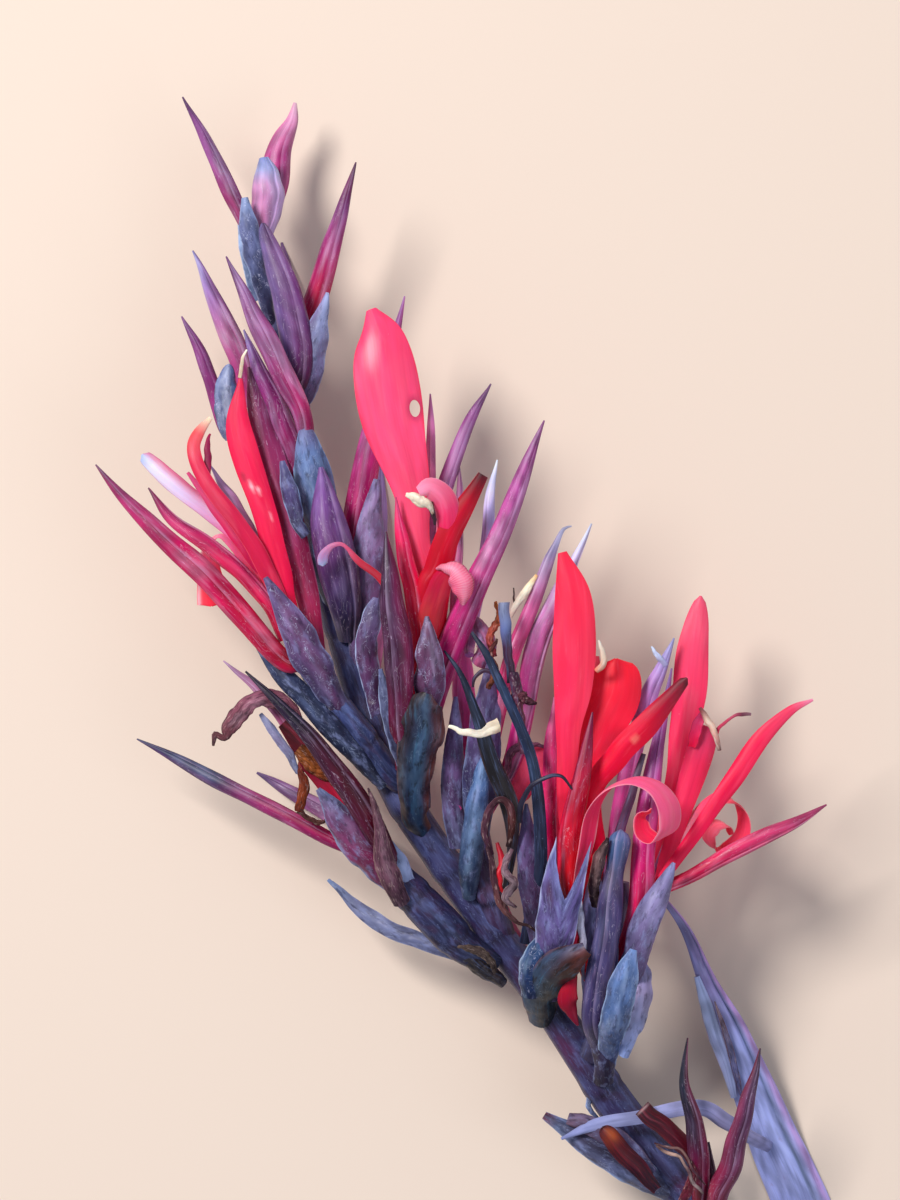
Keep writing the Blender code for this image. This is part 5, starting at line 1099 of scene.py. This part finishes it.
        (61.2, -25.9, 37.4, 4.8), (64.2, -26.2, 37.2, 4), (65.4, -28.4, 37, 2.6)]),
    "paleFork": dict(finish="bract", cup=0.2, inner="#8A88B0", tones={0: "#9A94C4", 1: "#C8DCF4"},
        route=[(48.8, 13.5, 38, 1.4), (47, 16, 38, 1.4), (45.2, 18.4, 37.6, 0.4)]),
    "rightLeftBract": dict(finish="bract", cup=0.1, spots=[(0.8, -0.55, 0.06, 0.2, "#4A2040", 0.8),
        (0.9, 0.8, 0.05, 0.14, "#5A2850", 0.6)], notch=(0.33, 0.2), rows=110, columns=33,
        edge=("#B8C4EC", 0.12, 0.7), bloomAndSheen=("#9CA4D4", 0.45), inner="#4A2A50", tones={0: "#3C3058",
        0.45: "#5A4A80", 0.8: "#665896", 1: "#6C70A8"}, route=[(18.6, -70, 37, 6.6), (19.6, -60, 45.5, 8),
        (21.4, -52, 51.6, 9.4), (22.6, -43, 56, 10.4), (24.4, -34, 58, 9.6), (25.2, -28.8, 58.6, 9.4)]),
    "stalkBract": dict(finish="bract", cup=0.3, edge=("#8C90BC", 0.14, 0.4), bloomAndSheen=("#9CA0D0", 0.2),
        inner="#3E2C4C", tones={0: "#201834", 0.4: "#2C2046", 0.8: "#3E3264", 1: "#3C406E"},
        route=[(34, -92, 26, 5), (33.5, -80, 38, 6), (33.5, -66, 46, 7), (34, -55, 49, 6), (35, -44, 51, 3)]),
    "sideBulge": dict(finish="bract", cup=0.3, crumple=0.15, edge=("#8C84A4", 0.14, 0.4),
        bloomAndSheen=("#B4BCE8", 0.4), inner="#4A3448", tones={0: "#8CA4DC", 0.4: "#9CA0CC", 0.7: "#9A8CB4",
        1: "#8C8CC8"}, route=[(38.4, -84, 36, 2.6), (41, -74, 42, 5.6), (42.4, -66, 43, 6.4),
        (41.8, -59.5, 42, 3.6)]),
    "blueSideBract": dict(finish="scuffed", cup=0.26, edge=("#B8D4F4", 0.2, 0.6), bloomAndSheen=("#B8DCF4", 0.5),
        inner="#2A3A50", tones={0: "#101E40", 0.4: "#1A325C", 0.8: "#345484", 1: "#6080B0"},
        route=[(15, -69, 42, 4.5), (16, -59.5, 47, 6.4), (19.3, -51, 48, 2.2)]),
    "redSliver": dict(finish="petal", cup=0.1, wave=(0, 1), ragged=0.01, edge=("#6A0E24", 0.14, 0.4),
        bloomAndSheen=("#D03050", 0.12), inner="#8A1430", tones={0: "#5A0C28", 0.3: "#80102A", 0.6: "#A0122C",
        1: "#981430"}, route=[(26.8, -75.6, 43, 0.6), (25.4, -72, 44, 3), (24.4, -69, 46, 5),
        (25.3, -64.2, 47, 2.6), (25.9, -60.6, 48, 0.5)]),
    "darkNarrowPetal": dict(finish="dark", cup=0.2, edge=("#7A4470", 0.2, 0.4), bloomAndSheen=("#5A4468", 0.3),
        inner="#161018", tones={0: "#7E4A7C", 0.5: "#70446E", 1: "#5A445A"}, route=[(33, -42, 44, 1.8),
        (35.5, -32.5, 47, 2.2), (39.5, -20, 48, 2.2), (43, -8, 48, 1.2)]),
    "driedNode": dict(finish="dry", cup=0.4, crumple=0.25, edge=("#A88878", 0.2, 0.6), bloomAndSheen=("#A08078", 0.5),
        inner="#241A20", tones={0: "#241824", 0.4: "#3A2430", 0.7: "#6A4E54", 1: "#2A1C26"},
        route=[(31, -46, 49, 2), (30.8, -40, 53, 3), (31.8, -34.6, 55, 3.2), (33, -31, 55.6, 2.2),
        (34, -28.6, 55, 0.8)]),
    "creamTip": dict(finish="cream", cup=0.3, inner="#E0C0A0", tones={0: "#D87A60", 0.5: "#F4DCC0",
        1: "#FAF0DC"}, route=[(31.2, 12.4, 48.3, 1.3), (33.1, 14.4, 49.3, 1.6), (33, 17.2, 49.3, 1.2),
        (31.8, 20, 49.1, 0.4)]),
    "shortRedPetal": dict(finish="petal", cup=0.2, spots=[(0.985, 0, 0.012, 0.9, "#C8A8A8", 0.6)],
        edge=("#5A2430", 0.2, 0.6), bloomAndSheen=("#A0384A", 0.3), side=("#3A2430", -0.5), inner="#5A1420",
        tones={0: "#4C1024", 0.4: "#5A1024", 0.75: "#481420", 1: "#301C22"}, route=[(60, -116, 20, 3),
        (53.5, -106.4, 27, 4.4), (48.5, -101.5, 30, 4.6), (44.8, -98.8, 32, 4.6), (42.9, -97, 32, 4.4)]),
    "orangeInnerBract": dict(finish="petal", cup=-0.28, spots=[(0.88, 0.3, 0.09, 0.5, "#B05C34", 0.6)],
        round=0.12, edge=("#2A1420", 0.2, 0.5), bloomAndSheen=("#A05048", 0.15), inner="#2A1420", tones={0: "#1A1022",
        0.4: "#260E1E", 0.7: "#3C121C", 0.86: "#6E2E20", 1: "#4E2C34"}, route=[(47, -117.5, 27, 2.6),
        (42.4, -112.4, 30.6, 4.2), (38, -107.2, 32.4, 4.8), (34.8, -103.4, 32.6, 4.4),
        (33.2, -101.6, 32.2, 3.2)]),
    "innerBractWall": dict(finish="bract", cup=0.3, edge=("#6A4A50", 0.18, 0.5), bloomAndSheen=("#7078A0", 0.4),
        inner="#5A3A40", tones={0: "#40385C", 0.5: "#5C5278", 1: "#6E5468"}, route=[(46, -113.5, 28.5, 3),
        (38, -106, 29.6, 5), (30, -101.4, 29.8, 5.4), (24.6, -99.6, 29.4, 3)]),
    "blackNode": dict(finish="dark", cup=0.4, crumple=0.22, edge=("#3A302C", 0.2, 0.4),
        bloomAndSheen=("#4A4440", 0.3), inner="#141014", tones={0: "#2A2028", 0.5: "#1E1820", 1: "#2A2630"},
        route=[(9, -66, 31, 2.6), (4.4, -62.8, 33, 4.6), (0, -59.4, 34, 4), (-5.4, -55.8, 33, 1.6)]),
    "sheathRim": dict(finish="bract", cup=0.3, crumple=0.12, edge=("#C8DCF6", 0.3, 0.7),
        bloomAndSheen=("#C0D4F0", 0.5), inner="#3A3658", tones={0: "#4C5680", 0.4: "#90A4D0", 0.7: "#7484B4",
        1: "#3C4468"}, route=[(30.4, -93.8, 21, 0.6), (29.9, -96.2, 21.4, 1.4), (30.6, -98.6, 20.6, 1.3),
        (32.6, -100.4, 19.6, 0.6)]),
    "footThreadPale": dict(finish="dry", cup=0.35, crumple=0.08, rows=80, wave=(0.2, 4), ragged=0.06,
        edge=("#F4E8D8", 0.25, 0.6), bloomAndSheen=("#F4E8DC", 0.4), inner="#5A3A38", tones={0: "#6A4A4C",
        0.3: "#B89888", 0.6: "#6A4C54", 0.85: "#8A6C70", 1: "#4A3038"}, route=[(46.6, -106.7, 28.3, 0.5),
        (49.6, -108.4, 29.3, 0.8), (52.8, -109.2, 29.7, 0.7), (54.2, -111.6, 29.5, 0.6),
        (55.3, -113.8, 28.9, 0.8), (56.6, -116.6, 27.7, 0.9), (58.4, -119, 25.9, 0.5)]),
    "footThreadDark": dict(finish="dry", cup=0.35, crumple=0.08, wave=(0.2, 4), edge=("#B89C88", 0.25, 0.5),
        inner="#2A1818", tones={0: "#4A2834", 0.4: "#9A746C", 0.7: "#4A2C38", 1: "#3A2028"},
        route=[(46.4, -105.6, 28.9, 0.4), (49.6, -106.9, 29.7, 0.6), (52.6, -107.4, 29.9, 0.6),
        (54.6, -110.2, 29.3, 0.5), (56.2, -113, 28.7, 0.6), (59.4, -116.4, 26.3, 0.3)]),
    "footRedShred": dict(finish="dry", cup=0.3, crumple=0.2, edge=("#A86A70", 0.2, 0.5), inner="#3A141E",
        tones={0: "#5A1C30", 0.5: "#7A2438", 1: "#4A2028"}, route=[(53, -121, 25.3, 2),
        (55, -117.6, 27.3, 2.6), (56, -113.4, 28.3, 2), (55.4, -110.4, 28.3, 0.6)]),
    "leftNarrowPetal": dict(finish="petal", cup=0.2, edge=("#F87C94", 0.2, 0.5), bloomAndSheen=("#FA8CA0", 0.3),
        inner="#A01838", tones={0: "#C82454", 0.5: "#D02C60", 1: "#C85080"}, route=[(-52, 37, 40.6, 2.2),
        (-60.4, 48.7, 41.8, 2.4), (-66, 56.4, 42.2, 2), (-70, 61.6, 42, 0.8)]),
    "wispBrown": dict(finish="dry", cup=0.4, crumple=0.4, wave=(0.4, 4), ragged=0.12,
        edge=("#C89070", 0.2, 0.5), inner="#3A1C18", tones={0: "#5A2A24", 0.4: "#9A5838", 0.7: "#6A3430",
        1: "#4A2424"}, route=[(4.6, 8, 51.2, 1.2), (6.2, 12.4, 52.2, 2), (5, 16.4, 52.6, 1.6),
        (6.8, 20.4, 52.2, 0.7)]),
    "nodeShreds": dict(finish="dry", cup=0.4, crumple=0.3, edge=("#A89480", 0.2, 0.6), bloomAndSheen=("#A0907C", 0.3),
        inner="#3A2C26", tones={0: "#6A584C", 0.5: "#463834", 1: "#28201F"}, route=[(-5, -54.6, 35, 0.8),
        (-1, -56.6, 36, 1.6), (2.6, -57.6, 37, 2.2), (5.4, -60, 37.4, 1.8), (6.2, -63, 37, 0.8)]),
    "backBract": dict(finish="bract", cup=-0.22, edge=("#98A4D0", 0.18, 0.5), bloomAndSheen=("#A0A8D8", 0.5),
        inner="#5A2F5A", tones={0: "#4A4468", 0.6: "#5C5E8C", 1: "#7C8CB8"}, route=[(-42, 68, 20, 4),
        (-43, 78, 14, 6), (-45, 88, 11, 5), (-46, 97, 10, 1.4)]),
    "backRedPetal": dict(finish="petal", cup=-0.12, edge=("#D83450", 0.14, 0.5), bloomAndSheen=("#FA7C92", 0.5),
        inner="#D42A48", tones={0: "#C82048", 0.4: "#E83A58", 1: "#F04A60"}, route=[(38.4, -50.8, 21.4, 2.6),
        (30, -45, 24, 3), (30, -25, 16, 6), (29, -8, 10, 9), (29, 6, 7, 10), (30, 16, 6, 6)]),
    "tinyCreamTip": dict(finish="cream", cup=0.1, inner="#E0C8A0", tones={0: "#E8C8A0", 1: "#F6EAD0"},
        route=[(-57.2, 85.2, 41.3, 0.9), (-56.4, 89, 41.4, 0.9), (-55.4, 92.2, 41, 0.4)]),
}

# The CAD centres the stem on its box. The same coarse stem worked out here tells how far it moved.
coarseRows, coarseSides = 22, 10
coarseRoute, _ = smoothRoute(stems["mainStem"]["route"], coarseRows)
coarseAcross, coarseFacing = routeFrames(coarseRoute)
coarseAngle = 2 * np.pi * np.arange(coarseSides)[None, :, None] / coarseSides
coarseRings = coarseRoute[:, None, :3] + coarseRoute[:, 3][:, None, None] / 2 * (
    np.cos(coarseAngle) * coarseAcross[:, None] + np.sin(coarseAngle) * coarseFacing[:, None])
stemLow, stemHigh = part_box("main_stem")
shift = np.array(stemLow) * 1000 - coarseRings.min(axis=(0, 1))
slip = np.abs(np.array(stemHigh) * 1000 - coarseRings.max(axis=(0, 1)) - shift).max()
print("layout moved by", np.round(shift, 3), "mm, slip", round(float(slip), 4))

kinds = {
    "bract": "waxyBract", "scuffed": "scuffedBract", "sooty": "sootyBract", "petal": "silkyPetal",
    "leaf": "chalkyLeaf", "dry": "driedTissue", "cream": "creamTissue", "dark": "blackenedLeaf",
    "wax": "waxyPetal",
}
# how near the rim of a hole a point must be to be pulled to it, as a share of the hole's size
rimReach = 0.22


def nodeName(name):
    return re.sub("([A-Z])", lambda found: "_" + found.group(1).lower(), name)


def openHole(look, rings):
    # cells whose middle lies in the ellipse are left out, and the points on the rim are pulled to it
    at, across, reach, breadth = look["hole"]
    rows, columns = rings.shape[:2]
    half = columns // 2
    x = sheetSides(half)
    along = np.linspace(0, 1, rows)
    cellAlong = (along[:-1] + along[1:])[:, None] / 2
    cellSide = (x[:-1] + x[1:])[None, :] / 2
    inside = ((cellAlong - at) / reach) ** 2 + ((cellSide - across) / breadth) ** 2 < 1
    gap = np.zeros((rows - 1, columns), bool)
    gap[:, : half - 1] = inside
    gap[:, half : columns - 1] = inside[:, ::-1]
    # points close to the rim slide along the sheet until they are on it
    sheetX = np.concatenate([x, x[::-1]])[None, :]
    far = np.sqrt(((along[:, None] - at) / reach) ** 2 + ((sheetX - across) / breadth) ** 2)
    near = (np.abs(far - 1) < rimReach) & (far > 0)
    slide = np.where(near, 1 / np.maximum(far, 0.1) - 1, 0)
    slopes = [np.gradient(rings[:, :half], x, axis=1), np.gradient(rings[:, half:], x[::-1], axis=1)]
    rings = rings + (slide * (along[:, None] - at))[..., None] * np.gradient(rings, along, axis=0)
    rings = rings + (slide * (sheetX - across))[..., None] * np.concatenate(slopes, axis=1)
    return rings, gap


def seedOf(name):
    return np.random.default_rng(sum(ord(letter) * (place + 1) for place, letter in enumerate(name)))


def addPiece(name, look, finish, makeRings):
    rings, tone, wrap, along = makeRings(look, seedOf(name))
    gap = None
    if "hole" in look:
        rings, gap = openHole(look, rings)
    mesh = meshFromRings(name, rings + shift, tone, wrap, along, "finish" in look, gap)
    mesh.materials.append(materials[finish])
    piece = bpy.data.objects.new(name, mesh)
    bpy.context.scene.collection.objects.link(piece)
    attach(piece, "root")
    node = nodeName(name)
    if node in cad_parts:
        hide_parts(node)


for name, look in stems.items():
    addPiece(name, look, "fleshyStem", stemRings)
print("stems:", len(stems))
for name, look in rolls.items():
    addPiece(name, look, "waxyPetal", rollRings)
print("rolled petals:", len(rolls))
for name, look in blades.items():
    addPiece(name, look, kinds[look["finish"]], bladeRings)
print("bracts, petals and leaves:", len(blades))

missing = sorted(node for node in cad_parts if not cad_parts[node].hide_render)
print("nodes still plain:", missing)

# plain pale floor, 6 m wide, just under the lowest leaf
floorHalf = 3
floorMesh = bpy.data.meshes.new("floor")
floorCorners = [(x * floorHalf, y * floorHalf, 0) for x, y in ((-1, -1), (1, -1), (1, 1), (-1, 1))]
floorMesh.from_pydata(floorCorners, [], [(0, 1, 2, 3)])
floor = bpy.data.objects.new("floor", floorMesh)
bpy.context.scene.collection.objects.link(floor)
floorPaint = bpy.data.materials.new("palePlaster")
floorPaint.use_nodes = True
floorShader = floorPaint.node_tree.nodes["Principled BSDF"]
floorShader.inputs["Base Color"].default_value = toColour("#EAD9C6")
floorShader.inputs["Roughness"].default_value = 0.9
floorShader.inputs["Specular IOR Level"].default_value = 0.2
floorMesh.materials.append(floorPaint)

# soft studio light: a wide key from the upper left, a fill from the lower right, a pale sky
world = bpy.data.worlds.new("studioSky")
world.use_nodes = True
world.node_tree.nodes["Background"].inputs["Color"].default_value = toColour("#E4E8FA")
world.node_tree.nodes["Background"].inputs["Strength"].default_value = 0.4
bpy.context.scene.world = world

# places and sizes in metres; both lights aim at the middle of the flowers
flowerMiddle = (0.0, 0.03, 0.03)
lights = {
    "keyLight": {"place": (-0.75, 0.65, 1.35), "size": 0.5, "watts": 25.0, "colour": "#FFFAFA"},
    "fillLight": {"place": (0.9, -0.5, 1.2), "size": 1.0, "watts": 4.0, "colour": "#E8F0FF"},
}
for name, lamp in lights.items():
    data = bpy.data.lights.new(name, "AREA")
    data.shape = "DISK"
    data.size = lamp["size"]
    data.energy = lamp["watts"]
    data.color = toLinear(lamp["colour"]).tolist()
    light = bpy.data.objects.new(name, data)
    light.location = lamp["place"]
    aim = np.array(flowerMiddle) - np.array(lamp["place"])
    light.rotation_euler = Vector(aim).to_track_quat("-Z", "Y").to_euler()
    bpy.context.scene.collection.objects.link(light)

# the camera looks straight down on the lying stem, from 1.67 m above its middle height
cameraData = bpy.data.cameras.new("camera")
cameraData.lens = 200
cameraData.sensor_width = 36
camera = bpy.data.objects.new("camera", cameraData)
camera.location = (-0.0060, 0.0320, 1.6967)
bpy.context.scene.collection.objects.link(camera)
bpy.context.scene.camera = camera
bpy.context.scene.view_settings.view_transform = "Standard"

bpy.context.view_layer.update()
